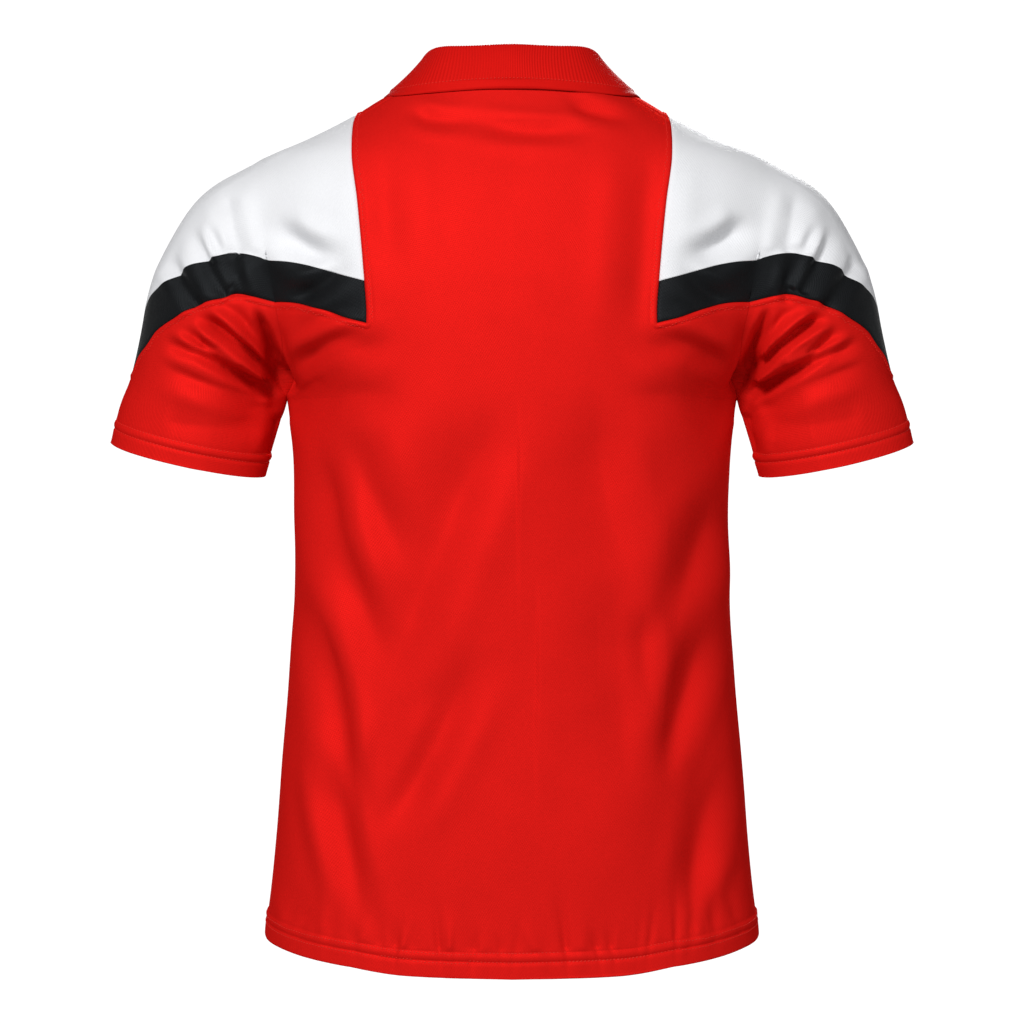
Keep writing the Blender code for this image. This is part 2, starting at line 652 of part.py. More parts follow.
def main():
    for thing in list(bpy.data.objects):
        bpy.data.objects.remove(thing, do_unlink=True)
    home = bpy.data.collections.new("football_jersey")
    bpy.context.scene.collection.children.link(home)

    red_knit = finish("red_knit", RED, 0.55)
    white_knit = finish("white_knit", WHITE, 0.55)
    black_knit = finish("black_knit", BLACK, 0.5)
    red_rib = finish("red_rib", RED, 0.65)

    yoke = yoke_grid()
    front_upper = front_upper_grid(yoke)
    back_upper = back_upper_grid(yoke, front_upper)
    back_top = np.concatenate([back_upper[0], yoke[0, 1:]])
    front_top = np.concatenate([front_upper[-1], yoke[-1, 1:]])
    back_lower = lower_grid(1, BACK_NECK_COLS + NECK_COLS, back_top)
    front_lower = lower_grid(-1, NECK_COLS, front_top)

    loop = np.concatenate([
        back_lower[BODY_ROWS:-1, -1],
        yoke[:, -1],
        front_lower[BODY_ROWS:-1, -1][::-1],
    ])
    sleeve = Sleeve(loop)
    every = list(range(len(loop)))
    seams = [sleeve.seam_share(k) for k in every]
    seam_line = np.array([sleeve.point(s, k) for k, s in zip(every, seams) if s > 0])
    tops = [sleeve.band_top_share(k, seam_line, s) if s > 0 else 0.0 for k, s in zip(every, seams)]
    edge = ARMHOLE_ROWS
    last = len(loop) - 1 - ARMHOLE_ROWS
    arch = every[edge:last + 1]
    cap = every[edge + BAND_ROWS:last + 1 - BAND_ROWS]
    for k in (edge, last):
        seams[k] = 0.0
    for k in every[:cap[0] + 1] + every[cap[-1]:]:
        tops[k] = 0.0

    def pick(values, columns):
        return [values[k] for k in columns]

    cap_grid, cap_sinks = sleeve.strip(cap, [0.0] * len(cap), pick(tops, cap), CAP_ROWS)
    band_grid, band_sinks = sleeve.strip(arch, pick(tops, arch), pick(seams, arch), BAND_ROWS)
    tube_grid, tube_sinks = sleeve.strip(every, seams, [1.0] * len(every), SLEEVE_ROWS)
    skin = Skin()
    for side, flip in (("left", False), ("right", True)):
        put = mirrored if flip else (lambda grid: grid)
        skin.add_grid("back", put(back_lower), flip)
        skin.add_grid("back", put(back_upper), flip)
        skin.add_grid("front", put(front_lower), not flip)
        skin.add_grid("front", put(front_upper), flip)
        first, second = BAND_ROWS, len(yoke) - 1 - BAND_ROWS
        skin.add_grid("band_" + side, put(yoke[:first + 1]), flip)
        skin.add_grid("shoulder_" + side, put(yoke[first:second + 1]), flip)
        skin.add_grid("band_" + side, put(yoke[second:]), flip)
        skin.add_grid("shoulder_" + side, put(cap_grid), not flip, "sleeve", cap_sinks)
        skin.add_grid("band_" + side, put(band_grid), not flip, "sleeve", band_sinks)
        skin.add_grid("sleeve_" + side, put(tube_grid), not flip, "sleeve", tube_sinks)

    points = np.array(skin.points)
    normals = skin.normals()
    on_back = points[:, 1] > 0
    sink = np.where(on_back, fold_depth(points, BACK_FOLDS), fold_depth(points, FRONT_FOLDS))
    near_side = np.clip(np.abs(points[:, 1]) / SIDE_FADE, 0, 1)
    low = np.clip((FOLD_TOP - points[:, 2]) / TOP_FADE, 0, 1)
    on_sleeve = np.abs(points[:, 0]) > np.maximum(armhole(points[:, 2]), SLEEVE_FROM)
    sink = sink * near_side * low * ~on_sleeve + np.array(skin.sinks)
    skin.points = list(points - normals * sink[:, None])
    normals = skin.normals()

    pieces = [
        ("back", red_knit), ("front", red_knit),
        ("shoulder_left", white_knit), ("shoulder_right", white_knit),
        ("band_left", black_knit), ("band_right", black_knit),
        ("sleeve_left", red_knit), ("sleeve_right", red_knit),
    ]
    for name, knit in pieces:
        thing = bpy.data.objects.new(name, piece_mesh(skin, normals, name, CLOTH))
        thing.data.materials.append(knit)
        thing.data.shade_smooth()
        home.objects.link(thing)

    neck = neck_line(front_upper, back_upper)
    neck_normals = np.array([normals[skin.add_point(point)] for point in neck])
    body = BVHTree.FromPolygons([list(point) for point in skin.points],
                                [corners for _, _, corners in skin.faces])
    half = collar_grid(body, neck, neck_normals)
    sections = np.concatenate([mirrored(half[1:])[::-1], half])
    across = sections.shape[1]
    faces = []
    for i in range(len(sections) - 1):
        for j in range(across - 1):
            a = i * across + j
            faces.append((a, a + across, a + across + 1, a + 1))
    mesh = bpy.data.meshes.new("collar")
    mesh.from_pydata(sections.reshape(-1, 3).tolist(), [], faces)
    mesh.update()
    collar = bpy.data.objects.new("collar", mesh)
    collar.data.materials.append(red_rib)
    collar.data.shade_smooth()
    home.objects.link(collar)
    wall = collar.modifiers.new("wall", "SOLIDIFY")
    wall.thickness = RIB
    wall.offset = 0


main()
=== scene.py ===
import math

import bpy
import numpy as np
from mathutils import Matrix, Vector, noise
from mathutils.bvhtree import BVHTree
from mathutils.kdtree import KDTree


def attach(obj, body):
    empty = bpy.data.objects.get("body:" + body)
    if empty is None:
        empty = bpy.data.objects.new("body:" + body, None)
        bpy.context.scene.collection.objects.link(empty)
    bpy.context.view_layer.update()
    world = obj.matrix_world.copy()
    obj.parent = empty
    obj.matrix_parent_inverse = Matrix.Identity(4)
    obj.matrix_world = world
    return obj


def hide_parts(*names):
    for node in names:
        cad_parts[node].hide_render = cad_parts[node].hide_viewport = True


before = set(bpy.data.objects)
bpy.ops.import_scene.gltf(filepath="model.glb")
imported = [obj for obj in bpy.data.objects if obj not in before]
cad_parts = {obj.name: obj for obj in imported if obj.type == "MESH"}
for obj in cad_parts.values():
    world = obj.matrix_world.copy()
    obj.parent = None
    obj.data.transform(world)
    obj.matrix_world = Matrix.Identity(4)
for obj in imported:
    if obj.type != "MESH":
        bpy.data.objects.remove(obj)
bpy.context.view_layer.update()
mm = 0.001

# The wearer's front faces -Y and the wearer's left is +X; z is 0 at the side of the neck.

view = {"away": 3.2, "height": -0.343, "lens": 135, "sensor": 36}

camera = bpy.data.objects.new("camera", bpy.data.cameras.new("camera"))
camera.data.lens = view["lens"]
camera.data.sensor_width = view["sensor"]
camera.location = (0, view["away"], view["height"])
camera.rotation_euler = (math.pi / 2, 0, math.pi)
bpy.context.scene.collection.objects.link(camera)
bpy.context.scene.camera = camera


def table(names, rows):    # named columns: millimetres become metres, and thousandths become shares
    return dict(zip(names.split(), np.array(rows, dtype=float).T * mm))


jersey = {
    "cloth": 1.2 * mm,          # wall of the knitted cloth
    "rib": 2.0 * mm,            # wall of the collar
    "gap": 0.3 * mm,            # between the collar and the neck edge
    "seam": 0.12 * mm,          # between the sewn pieces, closed up by their stitches
    "squareness": 2.3,          # of the body's sections, 2 is an oval
    "armpit": -250 * mm,
    "neckSide": 10.8 * mm,
    "vBottom": -125 * mm,
    "corner": -191 * mm,        # inner lower corner of the shoulder panel
    "seamBehind": 42 * mm,      # from the shoulder seam over to the ridge
    "band": 34 * mm,            # width of the band along the shoulder panel
    "cuffForward": math.radians(8),
    "sleeveRound": 0.35,        # share of the sleeve in which it turns into a ring
}
counts = {
    "backNeck": 36, "neck": 36, "side": 30, "band": 8, "yokeBack": 30, "yokeRidge": 9,
    "yokeFront": 40, "cap": 34, "tube": 66, "body": 86, "armhole": 28, "curve": 300,
    "bandBlend": 16,
}
closeTo = np.array([0.9, 2.0, 3.3, 4.6, 5.4, 6.2, 8.2]) * mm      # rows beside a seam
hemRows = np.array([0.7, 2.4, 6, 9.4, 11.8, 12.9, 13.5, 14.1, 15.4, 17.4, 19.4, 20.1, 20.7, 21.5,
                    22.8, 25.5, 29]) * mm         # rows beside a hem's two lines of stitches
cuffScale = 0.94            # a cuff's hem against the body's

body = table("height halfWidth back front", [
    (-720, 204.5, 116, 118), (-690, 204.8, 116, 118), (-666, 201.3, 116, 118),
    (-616, 196.4, 117, 118), (-549, 191.5, 117, 119), (-483, 185.8, 118, 120),
    (-416, 181.5, 122, 126), (-360, 180.3, 125, 132), (-316, 181.2, 127, 135),
    (-250, 187.2, 130, 134), (-235, 191.9, 130, 133), (-215, 201.2, 130, 131),
    (-190, 214.0, 129.5, 128), (-160, 225.7, 128, 122), (-120, 237.0, 122, 111),
    (-90, 239.4, 115, 100), (-70, 232.0, 109, 91), (-58, 218.4, 104, 85),
    (-50, 210.0, 101, 80), (-36, 176.0, 94, 71), (-12.7, 129.5, 82, 57),
    (2, 105.0, 74, 50), (10.8, 79.0, 69, 45), (16, 64.0, 65, 42),
])
armholeLine = table("height across", [
    (-250, 187.2), (-221, 187.6), (-190, 190.5), (-172, 193.0), (-160, 195.0),
    (-120, 201.0), (-90, 205.5), (-70, 208.0), (-50, 210.0), (20, 219.0),
])
panelSeam = table("height across", [       # between the red panel and the white shoulder
    (-720, 131.0), (-450, 118.0), (-250, 116.5), (-191, 117.0), (-141, 120.3),
    (-91.5, 125.0), (-47.7, 130.6), (-28, 131.0), (-12.7, 129.5), (20, 127.0),
])
panelEdge = table("across height", [
    (117, -191), (138, -184.7), (163, -176.7), (180, -173.2), (193, -172),
])
neckFront = table("height across", [
    (-125, 0.0), (-90, 23.0), (-50, 47.5), (-20, 64.5), (0, 74.5), (10.8, 79.0), (16, 81.0),
])
neckBehind = table("across height", [(0, 6), (35, 6.2), (55, 7.2), (70, 9), (79, 10.8), (81, 14)])
hemLine = table("across height", [
    (0, -718.8), (86, -716.6), (130, -711), (155, -705.5), (175, -699.8), (190, -696), (205, -691.5),
])
sleeveRings = table("outerX outerZ innerX innerZ halfDepth", [
    (210, -50, 187.2, -250, 74), (244, -67, 188, -253.5, 72), (263, -83, 189.1, -257.5, 70.5),
    (275, -100, 190.4, -261.5, 69), (284, -116, 191.7, -265.5, 67.5), (293, -133, 193.1, -270, 66),
    (300, -150, 194.5, -274.5, 64.5), (304, -166, 195.8, -279, 63), (306.5, -183, 197.1, -283.5, 61.5),
    (310, -200, 198.4, -288, 60), (313.5, -216, 199.7, -292.5, 58), (318, -233, 201, -297, 56),
    (325, -250, 202.4, -302, 54), (330, -266, 203.8, -307, 52), (334, -284.5, 205.8, -313, 50.5),
])
sleeveSeam = table("across height", [      # lower edge of the band round the sleeve
    (193, -172), (226, -165.5), (240, -169), (258, -174), (275, -183), (293, -194),
    (301, -204), (309, -213.5), (312, -220), (315, -226), (322, -230),
])


def through(xs, ys, at):      # smooth curve through points, rising or falling only where they do
    step = np.diff(xs)
    slope = np.diff(ys) / step
    tangent = np.concatenate([slope[:1], np.zeros(len(xs) - 2), slope[-1:]])
    before, after = slope[:-1], slope[1:]
    same = before * after > 0
    tangent[1:-1][same] = 2 * before[same] * after[same] / (before[same] + after[same])
    at = np.clip(at, xs[0], xs[-1])
    i = np.clip(np.searchsorted(xs, at) - 1, 0, len(step) - 1)
    t = (at - xs[i]) / step[i]
    rise = ys[i] * (1 + 2 * t) * (1 - t) ** 2 + ys[i + 1] * t * t * (3 - 2 * t)
    return rise + step[i] * (tangent[i] * t * (1 - t) ** 2 + tangent[i + 1] * t * t * (t - 1))


def read(columns, x, y, at):
    return through(columns[x], columns[y], at)


def armhole(z):
    return read(armholeLine, "height", "across", z)


def panelAt(z):
    return read(panelSeam, "height", "across", z)


def neckV(z):
    return read(neckFront, "height", "across", z)


def neckBack(z, ridge):
    return read(neckBehind, "height", "across", jersey["neckSide"] - (ridge - z))


def halfWidth(z):
    return read(body, "height", "halfWidth", z)


def onBody(x, z, side):       # side 1 is the back, -1 the front
    power = jersey["squareness"]
    reach = read(body, "height", "back" if side > 0 else "front", z)
    inside = np.clip(1 - (np.abs(x) / halfWidth(z)) ** power, 0, 1)
    return np.stack([x, side * reach * inside ** (1 / power), z], axis=-1)


def root(function, low, high):
    rising = function(high) > function(low)
    for _ in range(50):
        middle = (low + high) / 2
        if (function(middle) > 0) == rising:
            high = middle
        else:
            low = middle
    return (low + high) / 2


def lengths(points):
    return np.concatenate([[0], np.cumsum(np.linalg.norm(np.diff(points, axis=0), axis=1))])


def atLengths(points, wanted):
    along = lengths(points)
    return np.stack([np.interp(wanted, along, points[:, k]) for k in range(3)], axis=-1)


def blend(a, b, t):
    return a + (b - a) * t


def evenly(count):
    return np.linspace(0, 1, count + 1)


def unit(v):
    return v / np.linalg.norm(v)


def smooth(t):
    t = np.clip(t, 0, 1)
    return t * t * (3 - 2 * t)


# shares from 0 to 1, closer together beside a seam
def graded(count, length, atStart=True, atEnd=True, start=closeTo, end=closeTo):
    low = [0, *(start / length)] if atStart else [0]
    high = [1, *(1 - end / length)] if atEnd else [1]
    middle = np.linspace(low[-1], high[-1], count + 1)[1:-1]
    return np.array(low + list(middle) + high[::-1])


def overShoulder(acrossBack, acrossFront, backEnd, frontEnd):      # a line of the skin, back to front
    ridge = root(lambda z: halfWidth(z) - acrossFront(z), -75 * mm, 14 * mm)      # between these heights
    share = np.linspace(1, 0, counts["curve"]) ** 2
    backZ = ridge - (ridge - backEnd) * share
    frontZ = ridge - (ridge - frontEnd) * share[::-1]
    behind = onBody(acrossBack(backZ, ridge), backZ, 1)
    before = onBody(acrossFront(frontZ), frontZ, -1)
    return np.concatenate([behind, before[1:]]), lengths(behind)[-1]


# Grids of the left half: their rows go up from the hem, and their columns go out from the middle.

sideShares = graded(counts["side"], 90 * mm)
neckShares = graded(counts["neck"], 60 * mm, atStart=False)
backShares = graded(counts["backNeck"] + len(neckShares) - 1 - len(closeTo), 117 * mm, atStart=False)
bandShares = graded(counts["band"], jersey["band"])
yokeBackShares = graded(counts["yokeBack"], 120 * mm)
yokeRidgeShares = graded(counts["yokeRidge"], jersey["seamBehind"], atEnd=False)
yokeFrontShares = graded(counts["yokeFront"], 150 * mm, atStart=False)
bandRows, yokeBackRows = len(bandShares) - 1, len(yokeBackShares) - 1
bodyRows = graded(counts["body"], 460 * mm, atEnd=False, start=hemRows)
armholeRows = graded(counts["armhole"], 75 * mm, atStart=False)


def panelEdgePoint(f):
    x = blend(panelEdge["across"][0], panelEdge["across"][-1], f)
    for _ in range(6):
        z = read(panelEdge, "across", "height", x)
        x = blend(panelAt(z), armhole(z), f)
    return x, z


def yokeGrid():
    columns = []
    for f in sideShares:
        _, edge = panelEdgePoint(f)
        line, ridge = overShoulder(lambda z, top: blend(panelAt(z), armhole(z), f),
                                   lambda z: blend(panelAt(z), armhole(z), f), edge, edge)
        end = lengths(line)[-1]
        seam = ridge - jersey["seamBehind"]
        width = jersey["band"]
        stops = np.concatenate([
            width * bandShares,
            blend(width, seam, yokeBackShares)[1:],
            blend(seam, ridge, yokeRidgeShares)[1:],
            blend(ridge, end - width, yokeFrontShares)[1:],
            end - width * bandShares[::-1][1:],
        ])
        columns.append(atLengths(line, stops))
    return np.stack(columns, axis=1)


def frontUpperGrid(yoke):
    panelSide = yoke[bandRows + yokeBackRows:, 0]
    gone = lengths(panelSide)
    ridgeRows = len(yokeRidgeShares) - 1
    rest = len(panelSide) - 1 - ridgeRows
    toV = rest // 2
    columns = []
    for f in neckShares[:-1]:
        line, ridge = overShoulder(
            lambda z, top: blend(neckBack(z, top), panelAt(z), f),
            lambda z: blend(neckV(z), panelAt(z), f),
            blend(neckBehind["height"][0], -33 * mm, f), jersey["corner"])
        along, half = lengths(line), counts["curve"]
        start = ridge - jersey["seamBehind"]
        vPoint = np.interp(-jersey["vBottom"], -line[half:, 2], along[half:])
        neckStops = np.concatenate([
            blend(start, ridge, yokeRidgeShares),
            blend(ridge, vPoint, evenly(toV))[1:],
            blend(vPoint, along[-1], evenly(rest - toV))[1:],
        ])
        panelStops = blend(start, along[-1], gone / gone[-1])
        columns.append(atLengths(line, blend(neckStops, panelStops, f)))
    return np.stack(columns + [panelSide], axis=1)


def backUpperGrid(yoke, front):
    panelSide = yoke[:bandRows + yokeBackRows + 1, 0]
    corner = front[0, 0]
    neckX = corner[0] * evenly(counts["backNeck"])[:-1]
    neckZ = read(neckBehind, "across", "height", neckX)
    top = np.concatenate([onBody(neckX, neckZ, 1), front[0]])
    topShares = top[:, 0] / top[-1, 0]
    rows = []
    for point in panelSide:
        up = (point[2] - jersey["corner"]) / (panelSide[-1, 2] - jersey["corner"])
        z = blend(jersey["corner"], top[:, 2], up)
        x = blend(backShares, topShares, up) * blend(panelAt(z), point[0], backShares ** 4)
        rows.append(onBody(x, z, 1))
    rows[-1] = top
    grid = np.stack(rows)
    grid[:, -1] = panelSide
    return grid


def sidePoints(shares, heights, side):      # between the panel seam's line and the side seam or armhole
    points = []
    for f, z in zip(shares, heights):
        start = panelAt(z)
        end = halfWidth(z) if z < jersey["armpit"] else armhole(z)
        turn = np.linspace(math.asin(min(start / end, 1)), math.pi / 2, 90)
        section = onBody(end * np.sin(turn), np.full(90, z), side)
        along = lengths(section)
        byLength = np.interp(f * along[-1], along, section[:, 0])
        level = min(max((z - jersey["armpit"]) / (panelEdge["height"][-1] - jersey["armpit"]), 0), 1)
        x = blend(byLength, blend(start, end, f), level)
        points.append(onBody(np.array(x), np.array(z), side))
    return np.array(points)


def lowerGrid(side, inner, topRow):
    outer = sideShares[1:]
    many = len(inner)
    low = body["height"][0]
    lean = np.arange(len(topRow)) / (len(topRow) - 1)
    hemX = np.concatenate([inner * panelAt(low), blend(panelAt(low), hemLine["across"][-1], outer)])
    hemZ = read(hemLine, "across", "height", hemX)
    rows = [blend(hemZ, jersey["armpit"], up) for up in bodyRows]
    for up in armholeRows[1:-1]:
        rows.append(blend(jersey["armpit"], topRow[:, 2], up ** (1 + 0.8 * lean ** 3)))
    grid = []
    for z in rows:
        middle = onBody(inner * panelAt(z[:many]), z[:many], side)
        grid.append(np.concatenate([middle, sidePoints(outer, z[many:], side)]))
    return np.array(grid + [topRow])


class Sleeve:      # rings from the armhole to the cuff, which fan out round the armpit
    def __init__(self, loop):
        self.loop = loop
        ends = np.stack([sleeveRings["outerX"], sleeveRings["outerZ"]], axis=-1)
        self.run = lengths(np.column_stack([ends, np.zeros(len(ends))]))
        inner = np.array([sleeveRings["innerX"][0], sleeveRings["innerZ"][0]])
        chord = ends[0] - inner
        flat = loop[:, [0, 2]] - inner
        self.up = flat @ chord / (chord @ chord)
        self.off = flat @ (np.array([chord[1], -chord[0]]) / np.linalg.norm(chord))
        turn = lengths(loop)
        half = turn[int(np.argmax(loop[:, 2]))]
        self.angle = np.where(turn <= half, np.pi * (1 - turn / half),
                              -np.pi * (turn - half) / (turn[-1] - half))

    def line(self, k, start=0.0, end=1.0, many=160):     # column k between two shares of the length
        s = np.linspace(start, end, many)
        ring = {name: through(self.run, sleeveRings[name], s * self.run[-1]) for name in sleeveRings}
        chordX, chordZ = ring["outerX"] - ring["innerX"], ring["outerZ"] - ring["innerZ"]
        size = np.hypot(chordX, chordZ)
        own = smooth(s / jersey["sleeveRound"])
        up = blend(self.up[k], (1 + math.cos(self.angle[k])) / 2, own)
        y = blend(self.loop[k, 1], ring["halfDepth"] * math.sin(self.angle[k]), own)
        out = self.off[k] * (1 - own) + y * math.tan(jersey["cuffForward"]) * s * s
        x = ring["innerX"] + chordX * up + chordZ / size * out
        z = ring["innerZ"] + chordZ * up - chordX / size * out
        return s, np.stack([x, y, z], axis=-1)

    def seamShare(self, k):
        s, points = self.line(k, many=400)
        above = points[:, 2] - read(sleeveSeam, "across", "height", points[:, 0])
        if above[2] <= 0:
            return 0.0
        under = int(np.argmax(above < 0))
        return float(np.interp(0, [above[under], above[under - 1]], [s[under], s[under - 1]]))

    def bandTopShare(self, k, seamLine, seam, width):
        s, points = self.line(k, 0, seam, many=120)
        clear = np.min(np.linalg.norm(points[:, None] - seamLine[None], axis=2), axis=1) - width
        if clear[0] <= 0:
            return 0.0
        near = int(np.argmax(clear < 0))
        return float(np.interp(0, [clear[near], clear[near - 1]], [s[near], s[near - 1]]))

    def strip(self, columns, starts, ends, shares, hem=None):
        grid = []
        for k, a, b in zip(columns, starts, ends):
            _, points = self.line(k, a, b)
            long = lengths(points)[-1]
            stops = shares * long
            if hem is not None:       # the hem's rows keep their distance from the cuff's edge
                fit = min(1, 0.75 * long / hem[-1])
                stops = np.concatenate([shares[:-1] * (long - hem[-1] * fit),
                                        long - hem[::-1] * fit, [long]])
            grid.append(atLengths(points, stops))
        return np.stack(grid, axis=1)


class Skin:      # one skin for the whole jersey, so that its pieces meet along their seams
    def __init__(self):
        self.points, self.known, self.faces, self.lines = [], {}, [], {}

    def addPoint(self, point):
        key = tuple(np.round(np.asarray(point) / (0.02 * mm)).astype(int))
        if key not in self.known:
            self.known[key] = len(self.points)
            self.points.append(np.array(point, dtype=float))
        return self.known[key]

    def addGrid(self, piece, grid, outward):
        index = [[self.addPoint(point) for point in row] for row in grid]
        across = np.array([lengths(row) for row in grid])
        along = np.array([lengths(column) for column in grid.transpose(1, 0, 2)]).T
        for r in range(len(index) - 1):
            for c in range(len(index[0]) - 1):
                spots = [(r, c), (r, c + 1), (r + 1, c + 1), (r + 1, c)]
                if not outward:
                    spots = spots[::-1]
                corners = [index[a][b] for a, b in spots]
                kept = [n for n in range(4) if corners[n] != corners[n - 1]]
                if len(kept) > 2:
                    laid = [(across[spots[n]], along[spots[n]]) for n in kept]
                    self.faces.append((piece, [corners[n] for n in kept], laid))

    def addLine(self, name, points):
        self.lines[name] = [self.addPoint(point) for point in points]

    def freeze(self):
        self.place = np.array(self.points)
        self.quads = np.array([(f[1] + f[1][:1])[:4] for f in self.faces])
        pairs = np.concatenate([self.quads[:, [n, (n + 1) % 4]] for n in range(4)])
        pairs = pairs[pairs[:, 0] != pairs[:, 1]]
        undirected, uses = np.unique(np.sort(pairs, axis=1), axis=0, return_counts=True)
        self.edges = undirected
        self.open = np.zeros(len(self.place), bool)
        self.open[undirected[uses == 1]] = True

    def normals(self):
        p, q = self.place, self.quads
        faceNormal = np.cross(p[q[:, 2]] - p[q[:, 0]], p[q[:, 3]] - p[q[:, 1]])
        total = np.zeros_like(p)
        for n in range(4):
            np.add.at(total, q[:, n], faceNormal)
        return total / np.maximum(np.linalg.norm(total, axis=1, keepdims=True), 1e-12)

    def relax(self, rounds, amount):      # along the normals only, so that seams keep their place
        a, b = self.edges.T
        for turn in range(rounds):
            if turn % 4 == 0:
                normal = self.normals()
            pull = 1 / np.maximum(np.linalg.norm(self.place[a] - self.place[b], axis=1), 0.2 * mm)
            total, weight = np.zeros_like(self.place), np.zeros(len(self.place))
            for one, other in ((a, b), (b, a)):
                np.add.at(total, one, self.place[other] * pull[:, None])
                np.add.at(weight, one, pull)
            move = total / weight[:, None] - self.place
            move = normal * np.sum(move * normal, axis=1, keepdims=True)
            self.place = self.place + move * (amount * ~self.open)[:, None]


def mirrored(grid):
    return grid * np.array([-1, 1, 1])


yoke = yokeGrid()
frontUpper = frontUpperGrid(yoke)
backUpper = backUpperGrid(yoke, frontUpper)
backLower = lowerGrid(1, backShares, np.concatenate([backUpper[0], yoke[0, 1:]]))
frontLower = lowerGrid(-1, neckShares, np.concatenate([frontUpper[-1], yoke[-1, 1:]]))
print("body grids", backLower.shape, backUpper.shape, frontLower.shape, frontUpper.shape)

hemCount = len(bodyRows) - 1
loop = np.concatenate([backLower[hemCount:-1, -1], yoke[:, -1], frontLower[hemCount:-1, -1][::-1]])
sleeve = Sleeve(loop)
every = list(range(len(loop)))
firstArch = len(armholeRows) - 1
lastArch = len(loop) - 1 - firstArch
seams = [sleeve.seamShare(k) if firstArch < k < lastArch else 0.0 for k in every]
seamLine = np.array([sleeve.line(k, 0, s, 2)[1][-1] for k, s in zip(every, seams) if s > 0])
arch = every[firstArch:lastArch + 1]
cap = every[firstArch + bandRows:lastArch + 1 - bandRows]
bandEnds = [np.min(np.linalg.norm(seamLine - loop[k], axis=1)) for k in (cap[0], cap[-1])]


def bandWidth(k):       # it starts as wide as the body's band is at the armhole
    starts = [1 - smooth(columns / counts["bandBlend"]) for columns in (k - cap[0], cap[-1] - k)]
    return jersey["band"] + sum(near * (end - jersey["band"]) for near, end in zip(starts, bandEnds))


tops = [sleeve.bandTopShare(k, seamLine, s, bandWidth(k)) if s > 0 and cap[0] < k < cap[-1] else 0.0
        for k, s in zip(every, seams)]
capGrid = sleeve.strip(cap, [0.0] * len(cap), [tops[k] for k in cap],
                       graded(counts["cap"], 120 * mm, atStart=False))
bandGrid = sleeve.strip(arch, [tops[k] for k in arch], [seams[k] for k in arch],
                        graded(counts["band"], jersey["band"]))
tubeGrid = sleeve.strip(every, seams, [1.0] * len(every),
                        graded(counts["tube"], 110 * mm, atEnd=False), hemRows * cuffScale)
print("sleeve grids", capGrid.shape, bandGrid.shape, tubeGrid.shape)

skin = Skin()
lastBand = len(yoke) - 1 - bandRows
for side, flip in (("left", False), ("right", True)):
    put = mirrored if flip else (lambda grid: grid)
    skin.addGrid("back", put(backLower), flip)
    skin.addGrid("back", put(backUpper), flip)
    skin.addGrid("front", put(frontLower), not flip)
    skin.addGrid("front", put(frontUpper), flip)
    skin.addGrid("band_" + side, put(yoke[:bandRows + 1]), flip)
    skin.addGrid("shoulder_" + side, put(yoke[bandRows:lastBand + 1]), flip)
    skin.addGrid("band_" + side, put(yoke[lastBand:]), flip)
    skin.addGrid("shoulder_" + side, put(capGrid), not flip)
    skin.addGrid("band_" + side, put(bandGrid), not flip)
    skin.addGrid("sleeve_" + side, put(tubeGrid), not flip)
    skin.addLine("panelSeam_" + side, put(yoke[:, 0]))
    skin.addLine("bandSeamBack_" + side, put(yoke[0]))
    skin.addLine("bandSeamFront_" + side, put(yoke[-1]))
    skin.addLine("bandSeamSleeve_" + side, put(bandGrid[-1]))
    skin.addLine("shoulderSeam_" + side, put(frontUpper[0]))
    skin.addLine("cuff_" + side, put(tubeGrid[-1]))
    skin.addLine("hemBack_" + side, put(backLower[0]))
    skin.addLine("hemFront_" + side, put(frontLower[0]))
vRow = int(np.argmin(np.abs(frontUpper[:, 0, 2] - jersey["vBottom"])))
skin.addLine("neck", np.concatenate([backUpper[-1, :counts["backNeck"]], frontUpper[:vRow + 1, 0]]))
skin.freeze()
easing = {"all": 24, "armhole": 70, "amount": 0.5, "reach": 26 * mm, "low": -215 * mm, "fade": 50 * mm}
skin.relax(easing["all"], easing["amount"])
fromArmhole = np.abs(skin.place[:, 0]) - armhole(skin.place[:, 2])
nearArm = np.exp(-(fromArmhole / easing["reach"]) ** 2)
nearArm *= smooth((skin.place[:, 2] - easing["low"]) / easing["fade"])
skin.relax(easing["armhole"], easing["amount"] * nearArm)
underArm = {"x": 188 * mm, "z": -252 * mm, "reach": 33 * mm, "tuck": 0.62}
fromPit = np.hypot(np.abs(skin.place[:, 0]) - underArm["x"], skin.place[:, 2] - underArm["z"])
skin.place[:, 1] *= 1 - underArm["tuck"] * np.exp(-(fromPit / underArm["reach"]) ** 2)
print("skin", len(skin.place), "points", len(skin.faces), "faces")


